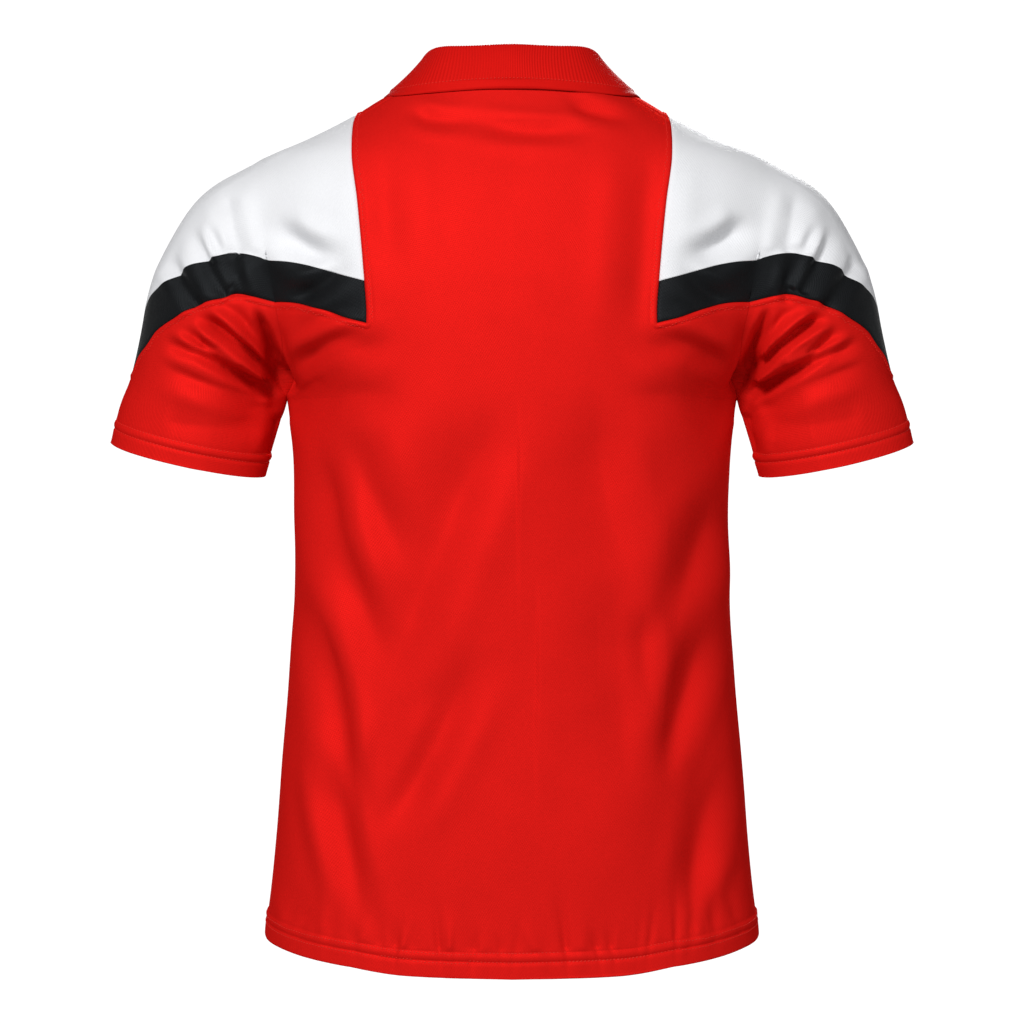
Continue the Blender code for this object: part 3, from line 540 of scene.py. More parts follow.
# Each runs from (x0, z0) through (x1, z1) to (x2, z2).  A trough's depth is positive, a ridge's negative.
# skew is how much wider it is on one of its sides, and both repeats it on the other half.
foldColumns = "x0 z0 x1 z1 x2 z2 width depth skew both"
backFolds = table(foldColumns, [
    (163, -277, 139, -369, 97, -482, 11, 6.4, 1300, 0),
    (152, -316, 128, -372, 98, -418, 13, -1, 1000, 0),
    (158, -405, 143, -500, 118, -622, 9, 5.6, 1300, 0),
    (165, -369, 145, -441, 125, -493, 10, -1.4, 1000, 0),
    (154, -530, 134, -610, 116, -690, 9, 4.4, 1300, 0),
    (172, -521, 158, -604, 140, -671, 7, -2, 1000, 0),
    (2, -249, 66, -381, 120, -553, 19, 6.4, 1500, 0),
    (25, -445, 70, -537, 110, -609, 15, 6, 1500, 0),
    (58, -485, 86, -541, 115, -601, 11, -2.6, 1000, 0),
    (150, -262, 112, -333, 86, -400, 16, 3.8, 1000, 0),
    (-172, -309, -154, -377, -124, -450, 13, 5.4, 1300, 0),
    (-110, -417, -108, -461, -120, -521, 9, 3.2, 1200, 0),
    (-152, -389, -138, -444, -123, -497, 11, -1.6, 1000, 0),
    (-164, -425, -146, -500, -120, -570, 11, 4.4, 1300, 0),
    (-166, -485, -148, -531, -130, -578, 9, -1.2, 1000, 0),
    (-179, -533, -160, -613, -139, -674, 10, 4, 1300, 0),
    (-182, -613, -168, -645, -154, -676, 7, -1.2, 1000, 0),
    (-66, -240, -76, -335, -102, -425, 15, 5.2, 1900, 0),
    (-80, -385, -86, -485, -92, -585, 15, 5.2, 1900, 0),
    (-136, -380, -152, -550, -150, -700, 36, 7.5, 1000, 0),
    (-114, -28, -107, -129, -100, -230, 15, 4.6, 1000, 0),
    (101, -28, 102, -93, 96, -173, 14, 2.2, 1000, 0),
    (46, -23, -14, -33, -78, -28, 5.5, 3.8, 1300, 0),
    (-38, -5, -70, -15, -106, -23, 5, 4, 1300, 0),
    (90, -13, 58, -24, 24, -23, 5, 3.4, 1300, 0),
    (178, -228, 155, -208, 112, -196, 6, 4, 1400, 1000),
    (176, -215, 150, -197, 112, -188, 6, -2, 1000, 1000),
    (170, -236, 134, -215, 86, -208, 9, 3, 1400, 1000),
    (170, -253, 130, -247, 82, -253, 12, 2.6, 1200, 1000),
    (194, -100, 168, -128, 126, -136, 7.5, 6.4, 1400, 1000),
    (186, -172, 158, -160, 128, -140, 6, 4.2, 1300, 1000),
])
sleeveFolds = table(foldColumns, [
    (203, -178, 198, -212, 187, -248, 14, 3.0, 1000, 1000),
    (196, -190, 192, -218, 187, -246, 9, 2.0, 1000, 1000),
    (210, -175, 198, -206, 185, -241, 4, 5, 1500, 1000),
    (226, -173, 210, -202, 192, -230, 5, 3, 1500, 1000),
    (258, -181, 226, -203, 189, -240, 4.5, 5, 1500, 1000),
    (251, -176, 224, -192, 200, -222, 5, -2.6, 1000, 1000),
    (270, -191, 238, -219, 192, -243, 4.5, 4.4, 1500, 1000),
    (264, -187, 235, -207, 203, -232, 5, -2.4, 1000, 1000),
    (287, -200, 249, -220, 193, -246, 5, 3.8, 1500, 1000),
    (280, -196, 251, -210, 223, -223, 5, -2, 1000, 1000),
    (290, -220, 252, -237, 203, -249, 8, 2.4, 1400, 1000),
    (256, -203, 249, -207, 242, -211, 3, 1.6, 1000, 1000),
    (206, -258, 232, -272, 286, -268, 11, 1.0, 1400, 1000),
    (191, -258, 195, -276, 198, -297, 6, 2, 1300, 1000),
    (250, -104, 238, -138, 224, -172, 5, 2.7, 1600, 1000),
    (231, -122, 225, -146, 217, -170, 5, 2.1, 1300, 1000),
    (264, -106, 250, -138, 233, -170, 5, 2.8, 1500, 1000),
    (257, -104, 244, -134, 230, -160, 5, -1.5, 1000, 1000),
    (284, -128, 272, -152, 255, -176, 5.5, 2.6, 1500, 1000),
    (236, -76, 230, -105, 222, -136, 9, 1.9, 1200, 1000),
])
frontFolds = table(foldColumns, [
    (-4, -215, -70, -372, -118, -556, 14, 4.2, 1500, 0),
    (-30, -440, -76, -530, -112, -622, 10, 3.8, 1500, 0),
    (-62, -474, -92, -540, -118, -606, 11, -2.2, 1000, 0),
    (170, -280, 146, -372, 100, -490, 11, 5, 1300, 0),
    (154, -320, 130, -378, 100, -424, 13, -2.6, 1000, 0),
    (171, -420, 150, -510, 122, -622, 9, 4.6, 1300, 0),
    (168, -530, 148, -610, 122, -676, 8, 3.6, 1300, 0),
    (-169, -300, -146, -370, -108, -452, 11, 5.4, 1300, 0),
    (-152, -392, -136, -446, -120, -500, 11, -3, 1000, 0),
    (-171, -430, -150, -510, -120, -590, 9, 4.8, 1300, 0),
    (-178, -560, -160, -620, -138, -676, 8, 3.8, 1300, 0),
    (62, -250, 74, -340, 96, -430, 18, 2.6, 1800, 0),
    (100, -470, 112, -560, 100, -660, 20, 3, 1000, 0),
    (178, -230, 152, -208, 112, -200, 7, 3.4, 1400, 1000),
    (172, -240, 134, -220, 88, -214, 9, 2.6, 1400, 1000),
    (172, -256, 130, -254, 84, -262, 12, 2.4, 1200, 1000),
    (190, -114, 162, -130, 130, -136, 8, 2.8, 1400, 1000),
    (180, -172, 156, -156, 132, -148, 6, 2.2, 1300, 1000),
    (4, -138, 12, -176, 32, -226, 9, 2.0, 1400, 0),
    (-8, -142, -26, -180, -58, -226, 10, 2.2, 1400, 0),
    (84, -44, 98, -96, 98, -160, 13, 2.0, 1000, 1000),
])
bodiceFolds = {"wide": 1.0, "deep": 1.45, "taperIn": 0.36, "taperOut": 0.42, "crisp": 1.8}
armFolds = {"wide": 0.74, "deep": 2.05, "taperIn": 0.30, "taperOut": 0.08, "crisp": 1.4}
folds = {"shoulders": 0.30, "swell": 0.12, "wander": 1.2 * mm, "wanderSize": 80 * mm,
         "hemFree": 26 * mm, "hemFade": 18 * mm, "pitFree": 2 * mm, "pitFade": 13 * mm,
         "frontDeep": 0.8, "frontHigher": 4 * mm}


def drift(points, size, seed):       # soft noise, one number a point
    return np.array([noise.noise(Vector(p / size) + Vector((seed, 0.7 * seed, 3.1))) for p in points])


def foldField(flat, rows, shift, kind):      # how far each point sinks
    sink = np.zeros(len(flat))
    steps = evenly(20)[:, None]
    for n, row in enumerate(zip(*rows.values())):
        x0, z0, x1, z1, x2, z2, width, depth, skew, both = row
        width, depth = width * kind["wide"], depth * kind["deep"]
        for mirror in ((1, -1) if both else (1,)):
            a, b, c = (np.array([x * mirror, z]) for x, z in ((x0, z0), (x1, z1), (x2, z2)))
            if mirror < 0:       # the second one isn't quite the same
                b = b + np.array([2.5, -3.5]) * mm * math.sin(n * 2.3 + 1)
                c = c + np.array([-3.0, 4.0]) * mm * math.sin(n * 1.7)
                depth = depth * (0.9 + 0.12 * math.sin(n * 3.1))
            b = 2 * b - (a + c) / 2
            path = (1 - steps) ** 2 * a + 2 * steps * (1 - steps) * b + steps ** 2 * c
            low, high = path.min(0) - 4 * width, path.max(0) + 4 * width
            near = np.flatnonzero(np.all((flat > low) & (flat < high), axis=1))
            if not len(near):
                continue
            p = flat[near] + shift[near, None]
            start, run = path[:-1], np.diff(path, axis=0)
            t = np.einsum("nsk,sk->ns", p[:, None] - start[None], run) / np.sum(run * run, axis=1)
            t = np.clip(t, 0, 1)
            gap = p[:, None] - start[None] - t[..., None] * run[None]
            far = np.linalg.norm(gap, axis=2)
            best = np.argmin(far, axis=1)
            pick = np.arange(len(p))
            away, along = far[pick, best], (best + t[pick, best]) / len(run)
            turn = run[best, 0] * gap[pick, best, 1] - run[best, 1] * gap[pick, best, 0]
            wide = width * np.where(turn * mirror > 0, skew, 1)
            ends = smooth(along / kind["taperIn"]) * smooth((1 - along) / kind["taperOut"])
            ends = ends * (1 + folds["swell"] * np.sin(along * 9 + n))
            hollow = np.exp(-(away / wide) ** kind["crisp"])
            rim = folds["shoulders"] * np.exp(-((away - 2.1 * wide) / (0.9 * wide)) ** 2)
            sink[near] += depth * ends * (hollow - rim)
    return sink


normal = skin.normals()
facing = normal[:, 1]
flat = skin.place[:, [0, 2]]
shift = folds["wander"] * drift(skin.place, folds["wanderSize"], 5.0)
onBack = smooth((facing + 0.05) / 0.3)
onFront = smooth((-facing + 0.05) / 0.3)
clearOfHem = smooth((skin.place[:, 2] - hemLine["height"][0] - folds["hemFree"]) / folds["hemFade"])
frontArmFolds = {**sleeveFolds, "depth": sleeveFolds["depth"] * folds["frontDeep"],
                 "z1": sleeveFolds["z1"] + folds["frontHigher"]}
sink = onBack * foldField(flat, backFolds, shift, bodiceFolds) * clearOfHem
sink += onFront * foldField(flat, frontFolds, shift, bodiceFolds) * clearOfHem
sink += onBack * foldField(flat, sleeveFolds, shift, armFolds)
sink += onFront * foldField(flat, frontArmFolds, shift, armFolds)


gathers = {"count": 34, "seed": 11, "span": 392 * mm, "foot": 21.5 * mm, "tall": 28 * mm,
           "deep": 3.0 * mm, "wide": 2.6 * mm, "below": 16 * mm}


def hemGathers(points, facing):       # short uneven pleats above the hem's stitches
    dice = np.random.default_rng(gathers["seed"])
    sink = np.zeros(len(points))
    for side in (1, -1):
        for n in range(gathers["count"]):
            x = gathers["span"] * ((n + dice.uniform(0, 1)) / gathers["count"] - 0.5)
            slant = dice.normal(0, 0.22) - 0.5 * x / (200 * mm) * dice.uniform(0, 0.6)
            tall = gathers["tall"] * dice.uniform(0.35, 1.3)
            deep = gathers["deep"] * dice.uniform(0.2, 1.25) * (1 if n % 3 else -0.7)
            wide = gathers["wide"] * dice.uniform(0.7, 1.7)
            foot = read(hemLine, "across", "height", abs(x)) + gathers["foot"]
            up = points[:, 2] - foot
            off = (points[:, 0] - x - slant * up) / (wide * (1 + np.clip(up, 0, 1) / tall))
            fade = np.where(up > 0, np.exp(-(up / tall) ** 2) * smooth(up / (2.5 * mm) + 0.35),
                            0.5 * np.exp(-(up / gathers["below"]) ** 2))
            sink += deep * fade * np.exp(-off ** 2) * smooth(side * facing / 0.35)
    return sink


sink *= smooth((fromPit - folds["pitFree"]) / folds["pitFade"])
sink += hemGathers(skin.place, facing)
softness = {"broad": 1.5 * mm, "broadSize": 150 * mm, "middle": 0.45 * mm, "middleSize": 46 * mm,
            "fine": 0.10 * mm, "fineSize": 15 * mm}
edgeCalm = np.where(skin.open, 0.3, 1.0)
stretch = np.array([1.0, 0.8, 0.42])      # the cloth's unevenness is longer upwards
for name in ("broad", "middle", "fine"):
    sink += softness[name] * drift(skin.place * stretch, softness[name + "Size"], 9.0) * edgeCalm
skin.place = skin.place - normal * sink[:, None]
skin.relax(1, 0.25)
normal = skin.normals()
print("folds laid in")


seamRelief = {"dip": 0.85 * mm, "dipWide": 1.2 * mm, "puff": 0.75 * mm, "puffAt": 2.6 * mm,
              "puffWide": 1.7 * mm, "needleDip": 0.45 * mm, "needleAt": 5.4 * mm, "needleWide": 0.9 * mm}
hemRelief = {"double": 0.45 * mm, "upper": 20.6 * mm, "lower": 13.5 * mm, "upperDip": 0.45 * mm,
             "lowerDip": 0.95 * mm, "needleWide": 1.0 * mm, "ridge": 0.55 * mm, "ridgeAt": 17.2 * mm,
             "ridgeWide": 2.2 * mm}


def rimLine(indices):     # a line of the skin, in steps of about half a millimetre
    points = skin.place[indices]
    along = lengths(points)
    return atLengths(points, np.linspace(0, along[-1], max(2, int(along[-1] / (0.5 * mm)))))


def nearness(lines):      # distance of every point from the nearest of some lines
    spots = np.concatenate(lines)
    tree = KDTree(len(spots))
    for n, spot in enumerate(spots):
        tree.insert(spot, n)
    tree.balance()
    return np.array([tree.find(point)[2] for point in skin.place])


pieceFaces = {}
for n, (piece, corners, laid) in enumerate(skin.faces):
    pieceFaces.setdefault(piece, []).append(n)
inPiece = {piece: np.unique(np.concatenate([skin.faces[n][1] for n in rows]))
           for piece, rows in pieceFaces.items()}

sides = ("left", "right")
sewn = [rimLine(skin.lines[name + side]) for side in sides
        for name in ("panelSeam_", "bandSeamBack_", "bandSeamFront_", "bandSeamSleeve_")]
plain = [rimLine(skin.lines["shoulderSeam_" + side]) for side in sides]
hems = [rimLine(skin.lines[name + side]) for side in sides for name in ("hemBack_", "hemFront_")]
cuffs = [rimLine(skin.lines["cuff_" + side]) for side in sides]
redPieces = ("back", "front", "sleeve_left", "sleeve_right")
isRed = np.zeros(len(skin.place), bool)
isRed[np.concatenate([inPiece[piece] for piece in redPieces])] = True


def bump(distance, at, wide):
    return np.exp(-((distance - at) / wide) ** 2)


fromSewn, fromPlain, fromHem, fromCuff = (nearness(lines) for lines in (sewn, plain, hems, cuffs))
raised = -seamRelief["dip"] * bump(fromSewn, 0, seamRelief["dipWide"])
raised += isRed * seamRelief["puff"] * bump(fromSewn, seamRelief["puffAt"], seamRelief["puffWide"])
raised -= isRed * seamRelief["needleDip"] * bump(fromSewn, seamRelief["needleAt"], seamRelief["needleWide"])
raised -= 0.6 * seamRelief["dip"] * bump(fromPlain, 0, seamRelief["dipWide"])
for fromEdge, scale in ((fromHem, 1), (fromCuff, cuffScale)):
    upper, lower = hemRelief["upper"] * scale, hemRelief["lower"] * scale
    raised += hemRelief["double"] * smooth((upper + 0.4 * mm - fromEdge) / (0.8 * mm))
    for at, dip in ((upper, "upperDip"), (lower, "lowerDip")):
        raised -= hemRelief[dip] * bump(fromEdge, at, hemRelief["needleWide"])
    raised += hemRelief["ridge"] * bump(fromEdge, hemRelief["ridgeAt"] * scale, hemRelief["ridgeWide"])
skin.place = skin.place + normal * raised[:, None]
normal = skin.normals()
outerTree = BVHTree.FromPolygons(skin.place.tolist(), [f[1] for f in skin.faces])
print("seams in relief")


class Num:      # a socket that takes part in sums
    def __init__(self, nodes, socket):
        self.nodes, self.socket = nodes, socket

    def join(self, other, operation, swap=False):
        first, second = (other, self) if swap else (self, other)
        return self.nodes.maths(operation, first, second)

    def __add__(self, other):
        return self.join(other, "ADD")

    def __radd__(self, other):
        return self.join(other, "ADD", True)

    def __sub__(self, other):
        return self.join(other, "SUBTRACT")

    def __rsub__(self, other):
        return self.join(other, "SUBTRACT", True)

    def __mul__(self, other):
        return self.join(other, "MULTIPLY")

    def __rmul__(self, other):
        return self.join(other, "MULTIPLY", True)

    def __truediv__(self, other):
        return self.join(other, "DIVIDE")


class Nodes:      # a tree of nodes, of a material or of geometry
    def __init__(self, tree):
        self.tree = tree

    def add(self, kind, settings=None, **inputs):
        node = self.tree.nodes.new(kind)
        for name, value in (settings or {}).items():
            setattr(node, name, value)
        self.fill(node, inputs)
        return node

    def fill(self, node, inputs):      # i3 is the input of that number, Base_Color the one of that name
        for name, value in inputs.items():
            socket = node.inputs[int(name[1:]) if name[1:].isdigit() else name.replace("_", " ")]
            if isinstance(value, Num):
                value = value.socket
            if isinstance(value, bpy.types.NodeSocket):
                self.tree.links.new(value, socket)
            else:
                socket.default_value = value

    def maths(self, operation, *values):
        inputs = {"i" + str(n): value for n, value in enumerate(values)}
        return Num(self, self.add("ShaderNodeMath", {"operation": operation}, **inputs).outputs[0])

    def noise(self, scale, detail):      # on the object's own coordinates
        place = self.add("ShaderNodeTexCoord").outputs["Object"]
        made = self.add("ShaderNodeTexNoise", None, Vector=place, Scale=scale, Detail=detail)
        return Num(self, made.outputs["Fac"])

    def onCloth(self):      # metres across and along the cloth
        uv = self.add("ShaderNodeUVMap", {"uv_map": "cloth"}).outputs["UV"]
        split = self.add("ShaderNodeSeparateXYZ", None, Vector=uv)
        return Num(self, split.outputs["X"]), Num(self, split.outputs["Y"])

    def mixed(self, factor, one, other):
        return self.add("ShaderNodeMix", {"data_type": "RGBA"}, i0=factor, i6=one, i7=other).outputs[2]

    def toned(self, tone, low, high, look):      # from the look's shade at low to its colour at high
        spread = self.add("ShaderNodeMapRange", None, i0=tone, i1=low, i2=high).outputs[0]
        return self.mixed(spread, darker(look["colour"], look["shade"]), look["colour"])

    def relief(self, height, strength, distance):
        made = self.add("ShaderNodeBump", None, Strength=strength, Distance=distance, Height=height)
        return made.outputs[0]

    def finish(self, **inputs):
        self.fill(self.tree.nodes["Principled BSDF"], inputs)


def darker(colour, by):
    return tuple(c * by for c in colour[:3]) + (1,)


def newMaterial(name, colour):
    made = bpy.data.materials.new(name)
    made.use_nodes = True
    made.diffuse_color = colour
    return made, Nodes(made.node_tree)


red = {"colour": (0.66, 0.0105, 0.0082, 1), "shade": 0.90, "roughness": 0.48, "satin": 0.16, "specular": 0.0,
       "tint": (1.0, 0.25, 0.2, 1), "knit": 0.55, "wale": 1.9 * mm, "course": 1.6 * mm}
white = {**red, "colour": (0.72, 0.725, 0.745, 1), "shade": 0.96, "tint": (1, 1, 1, 1),
         "satin": 0.05, "specular": 0.05, "roughness": 0.55}
black = {**red, "colour": (0.0062, 0.0066, 0.0072, 1), "shade": 0.7, "tint": (0.6, 0.65, 0.7, 1),
         "satin": 0.0, "specular": 0.16}


def knitMaterial(name, look):      # interlock knit: fine wales and courses with a diagonal lean
    made, nodes = newMaterial(name, look["colour"])
    u, v = nodes.onCloth()
    wale = nodes.maths("SINE", (u + v * 0.55) * (2 * math.pi / look["wale"]))
    course = nodes.maths("SINE", (v - u * 0.25) * (2 * math.pi / look["course"]))
    fuzz, grain, cloud = nodes.noise(900.0, 2.0), nodes.noise(420.0, 2.0), nodes.noise(38.0, 3.0)
    knit = wale * course * 0.5 + wale * 0.3 + fuzz * 0.8
    # the tone is mostly random mottling of the yarn, plus a slight darkening where the knit's relief sinks,
    # which is painted shade
    colour = nodes.toned(knit * 0.06 + grain * 0.55 + cloud * 0.5, 0.25, 0.85, look)
    nodes.finish(Base_Color=colour, Roughness=grain * 0.10 + (look["roughness"] - 0.05),
                 Normal=nodes.relief(knit, look["knit"], 0.25 * mm), Metallic=look["satin"],
                 Specular_IOR_Level=look["specular"], Specular_Tint=look["tint"])
    return made


# shade is the dark end of the rib's tone, which the grooves get as painted shade and the rest as random
# mottling
ribLook = {"colour": (0.62, 0.0075, 0.0055, 1), "shade": 0.72, "roughness": 0.6, "satin": 0.1,
           "tint": (1.0, 0.25, 0.2, 1), "stitch": 1.5 * mm, "relief": 0.3}


def ribMaterial(name, look):       # flat-knit rib: small loops along the ribs that the mesh has, and painted shade in the grooves between the ribs
    made, nodes = newMaterial(name, look["colour"])
    _, v = nodes.onCloth()
    loops = nodes.maths("SINE", v * (2 * math.pi / look["stitch"]))
    fuzz, cloud = nodes.noise(1300.0, 3.0), nodes.noise(60.0, 3.0)
    # the ribs' height and the fine fuzz, which also raise the relief, darken the grooves and hollows:
    # painted shade; the cloud is random tone
    groove = Num(nodes, nodes.add("ShaderNodeAttribute", {"attribute_name": "ribHeight"}).outputs["Fac"])
    colour = nodes.toned(groove * 0.36 + fuzz * 0.4 + cloud * 0.2, 0.1, 1.0, look)
    nodes.finish(Base_Color=colour, Roughness=fuzz * 0.1 + (look["roughness"] - 0.05),
                 Normal=nodes.relief(loops * 0.25 + fuzz, look["relief"], 0.3 * mm),
                 Metallic=look["satin"], Specular_IOR_Level=0.05, Specular_Tint=look["tint"])
    return made


def threadMaterial(name, colour):      # twisted sewing thread
    made, nodes = newMaterial(name, colour)
    ply = nodes.noise(2200.0, 1.0)
    # the ply noise darkens the thread where its relief sinks: painted shade between the plies
    nodes.finish(Base_Color=nodes.mixed(ply, darker(colour, 0.75), colour), Roughness=0.5,
                 Specular_IOR_Level=0.1, Normal=nodes.relief(ply, 0.3, 0.1 * mm))
    return made


redKnit = knitMaterial("redKnit", red)
whiteKnit = knitMaterial("whiteKnit", white)
blackKnit = knitMaterial("blackKnit", black)
redRib = ribMaterial("redRib", ribLook)
redThread = threadMaterial("redThread", (0.78, 0.035, 0.024, 1))


def link(thing):
    bpy.context.scene.collection.objects.link(thing)
    return thing


def rimEdges(faces):      # the edges that only one face has
    edges = {(a, b) for face in faces for a, b in zip(face, face[1:] + face[:1])}
    return sorted((a, b) for a, b in edges if (b, a) not in edges)


def closedWall(name, outer, inner, faces):      # two layers of cloth, joined along their rim
    size = len(outer)
    walls = faces + [[v + size for v in reversed(face)] for face in faces]
    walls += [[b, a, a + size, b + size] for a, b in rimEdges(faces)]
    mesh = bpy.data.meshes.new(name)
    mesh.from_pydata(np.concatenate([outer, inner]).tolist(), [], walls)
    return mesh


def makePiece(name, material):       # its edges are drawn back by half the seam
    rows = [skin.faces[n] for n in pieceFaces[name]]
    used = inPiece[name]
    number = {v: n for n, v in enumerate(used)}
    outer, across = skin.place[used].copy(), normal[used]
    faces = [[number[v] for v in corners] for _, corners, _ in rows]
    inward, count = np.zeros_like(outer), np.zeros(len(outer))
    for a, b in rimEdges(faces):
        for v in (a, b):
            pull = np.cross(across[v], outer[b] - outer[a])
            inward[v] += pull / np.linalg.norm(pull)
            count[v] += 1
    atRim = count > 0
    bend = np.maximum(np.sum(inward[atRim] ** 2, axis=1), 0.8) / 2
    outer[atRim] += inward[atRim] / bend[:, None] * (jersey["seam"] / 2)
    mesh = closedWall(name + "Cloth", outer, outer - across * jersey["cloth"], faces)
    laid = [spot for row in rows for spot in row[2]]
    laid += [spot for row in rows for spot in reversed(row[2])]
    laid += [(0.0, 0.0)] * (len(mesh.loops) - len(laid))
    layer = mesh.uv_layers.new(name="cloth")
    layer.data.foreach_set("uv", np.array(laid, dtype=np.float32).ravel())
    mesh.materials.append(material)
    mesh.update()
    mesh.shade_smooth()
    return link(bpy.data.objects.new(name + "Cloth", mesh))


cuts = {      # flat width and length of each piece, its area in square metres, and its slot
    "back": ((0.53, 0.74), 0.312, "red_knit", redKnit),
    "front": ((0.53, 0.73), 0.310, "red_knit", redKnit),
    "shoulder_left": ((0.20, 0.34), 0.050, "white_knit", whiteKnit),
    "shoulder_right": ((0.20, 0.34), 0.050, "white_knit", whiteKnit),
    "band_left": ((0.034, 0.50), 0.0168, "black_knit", blackKnit),
    "band_right": ((0.034, 0.50), 0.0168, "black_knit", blackKnit),
    "sleeve_left": ((0.40, 0.17), 0.047, "red_knit", redKnit),
    "sleeve_right": ((0.40, 0.17), 0.047, "red_knit", redKnit),
}
for name, (size, area, slot, material) in cuts.items():
    piece = makePiece(name, material)
    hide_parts(name)
    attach(piece, "root")
print("pieces sewn")


# The collar's sections go up the stand, over the fold and down the leaf.  A share of 0 is the middle of the
# back, and 1000 the foot of the V.
collar = {"ease": 18 * mm, "start": 7 * mm, "fold": 3.2 * mm, "lift": 2.0 * mm, "bulge": (0.35, 0.12),
          "leafRidge": 0.375, "every": 6 * mm, "evenings": 5, "finer": 11, "thinner": 0.3 * mm,
          "ribPitch": 2.3 * mm, "ribDepth": 0.20 * mm, "strip": 7.6 * mm, "step": 0.8 * mm,
          "groove": 0.8 * mm, "grooveWide": 0.7 * mm, "seamBeside": 1.2 * mm}
stand = table("share height up hole out", [
    (0, 33, 940, 300, 0), (200, 32, 930, 330, 0), (300, 29, 925, 370, 0), (375, 25.5, 920, 380, 0),
    (520, 20, 800, 150, 300), (700, 15, 550, 0, 700), (1000, 9, 250, 100, 950),
])
leafEdge = table("share across height", [
    (0, 0, 0.2), (140, 40, -0.6), (250, 80, -2.6), (320, 99, -2.6), (375, 105, 1.4),
    (450, 111, -10), (580, 113, -36), (740, 105, -68), (880, 87, -98), (1000, 64, -125),
])


def laidOn(point, lift):
    place, out, _, _ = outerTree.find_nearest(Vector(point))
    above = (Vector(point) - place).dot(out)
    return np.array(place + out * lift) if above < lift else point


collarDrops = np.concatenate([      # closer together where the strip begins
    np.linspace(0, 0.58, 9), [0.64, 0.69, 0.73, 0.76, 0.785, 0.81, 0.84, 0.88, 0.94, 1]])


def collarSection(neck, along, across, leaf, height, weights):
    towardHole = unit(np.cross(along, across))
    level = unit(towardHole * np.array([1, 1, 0]))
    rise = unit(weights[0] * np.array([0, 0, 1]) + weights[1] * level + weights[2] * across)
    clear = jersey["gap"] + jersey["rib"] / 2 * abs(rise @ across)
    foot = neck + towardHole * clear - across * jersey["cloth"] / 2
    edge = laidOn(leaf, collar["lift"])
    radius = collar["fold"]
    top = foot + rise * height
    out = unit((edge - top) - rise * ((edge - top) @ rise))
    turnStart = top - rise * radius
    centre = turnStart + out * radius
    upward = [blend(foot, turnStart, t) for t in evenly(5)]
    fold = [centre + radius * (math.sin(a) * rise - math.cos(a) * out) for a in np.pi * evenly(8)[1:]]
    drop = fold[-1]
    reach = np.linalg.norm(edge - drop)
    bulge = drop - rise * reach * collar["bulge"][0] + out * reach * collar["bulge"][1]
    down = [laidOn((1 - t) ** 2 * drop + 2 * t * (1 - t) * bulge + t * t * edge, collar["lift"])
            for t in collarDrops[1:]]
    return np.array(upward + fold + down)


def collarSections():
    neck = skin.place[skin.lines["neck"]]
    across = normal[skin.lines["neck"]]
    gone = lengths(neck)
    side = np.where(leafEdge["share"] <= collar["leafRidge"] + 1e-9, 1, -1)
    leafPlaces = zip(leafEdge["across"], leafEdge["height"], side)
    leafPoints = np.array([onBody(x, z, s) for x, z, s in leafPlaces])
    last = gone[-1] - collar["start"]
    sections = []
    for stop in np.linspace(0, last, int(last / collar["every"]) + 1):
        q = stop / gone[-1]
        near = min(stop, collar["ease"])
        along = np.array([1.0, 0, 0])
        if stop > 0:
            along = unit(atLengths(neck, stop + near) - atLengths(neck, stop - near))
        out = unit(np.array([np.interp(stop, gone, across[:, k]) for k in range(3)]))
        leaf = np.array([through(leafEdge["share"], leafPoints[:, k], q) for k in range(3)])
        weights = [read(stand, "share", name, q) for name in ("up", "hole", "out")]
        height = read(stand, "share", "height", q)
        sections.append(collarSection(atLengths(neck, stop), along, out, leaf, height, weights))
    return np.array(sections)


def finer(rows, count):      # smooth curve through the first axis, in so many more steps
    many = len(rows)
    at = np.linspace(0, many - 1, (many - 1) * count + 1)
    i = np.clip(at.astype(int), 0, many - 2)
    t = (at - i).reshape(-1, *[1] * (rows.ndim - 1))
    before, after = rows[np.maximum(i - 1, 0)], rows[np.minimum(i + 2, many - 1)]
    a, b = rows[i], rows[i + 1]
    return (a * (2 * t ** 3 - 3 * t * t + 1) + b * (3 * t * t - 2 * t ** 3)
            + (b - before) / 2 * (t ** 3 - 2 * t * t + t) + (after - a) / 2 * (t ** 3 - t * t))


half = collarSections()
whole = np.concatenate([mirrored(half[1:])[::-1], half])
for _ in range(collar["evenings"]):       # even out what the body's relief hands on
    whole[1:-1] = whole[1:-1] * 0.5 + (whole[:-2] + whole[2:]) * 0.25
collarGrid = finer(whole, collar["finer"])
print("collar grid", collarGrid.shape)


def gridFaces(rows, columns):
    return [(r * columns + c, (r + 1) * columns + c, (r + 1) * columns + c + 1, r * columns + c + 1)
            for r in range(rows - 1) for c in range(columns - 1)]


def socketOf(tree, name):
    return next(item.identifier for item in tree.interface.items_tree if item.name == name)


def newTree(name, sizes):       # a node group with a geometry in and out, named sizes and a material
    tree = bpy.data.node_groups.new(name, "GeometryNodeTree")
    for way in ("INPUT", "OUTPUT"):
        tree.interface.new_socket("Geometry", in_out=way, socket_type="NodeSocketGeometry")
    for label, size in sizes.items():
        item = tree.interface.new_socket(label, in_out="INPUT", socket_type="NodeSocketFloat")
        item.default_value = size
    tree.interface.new_socket("Cloth", in_out="INPUT", socket_type="NodeSocketMaterial")
    nodes = Nodes(tree)
    return nodes, nodes.add("NodeGroupInput").outputs


def attribute(nodes, name, kind="FLOAT"):
    made = nodes.add("GeometryNodeInputNamedAttribute", {"data_type": kind}, Name=name)
    return Num(nodes, made.outputs["Attribute"])


def dressed(nodes, shape, material):       # the last steps of a tree
    real = nodes.add("GeometryNodeRealizeInstances", None, Geometry=shape)
    made = nodes.add("GeometryNodeSetMaterial", None, Geometry=real.outputs[0], Material=material)
    nodes.add("NodeGroupOutput", None, Geometry=made.outputs[0])
    return nodes.tree


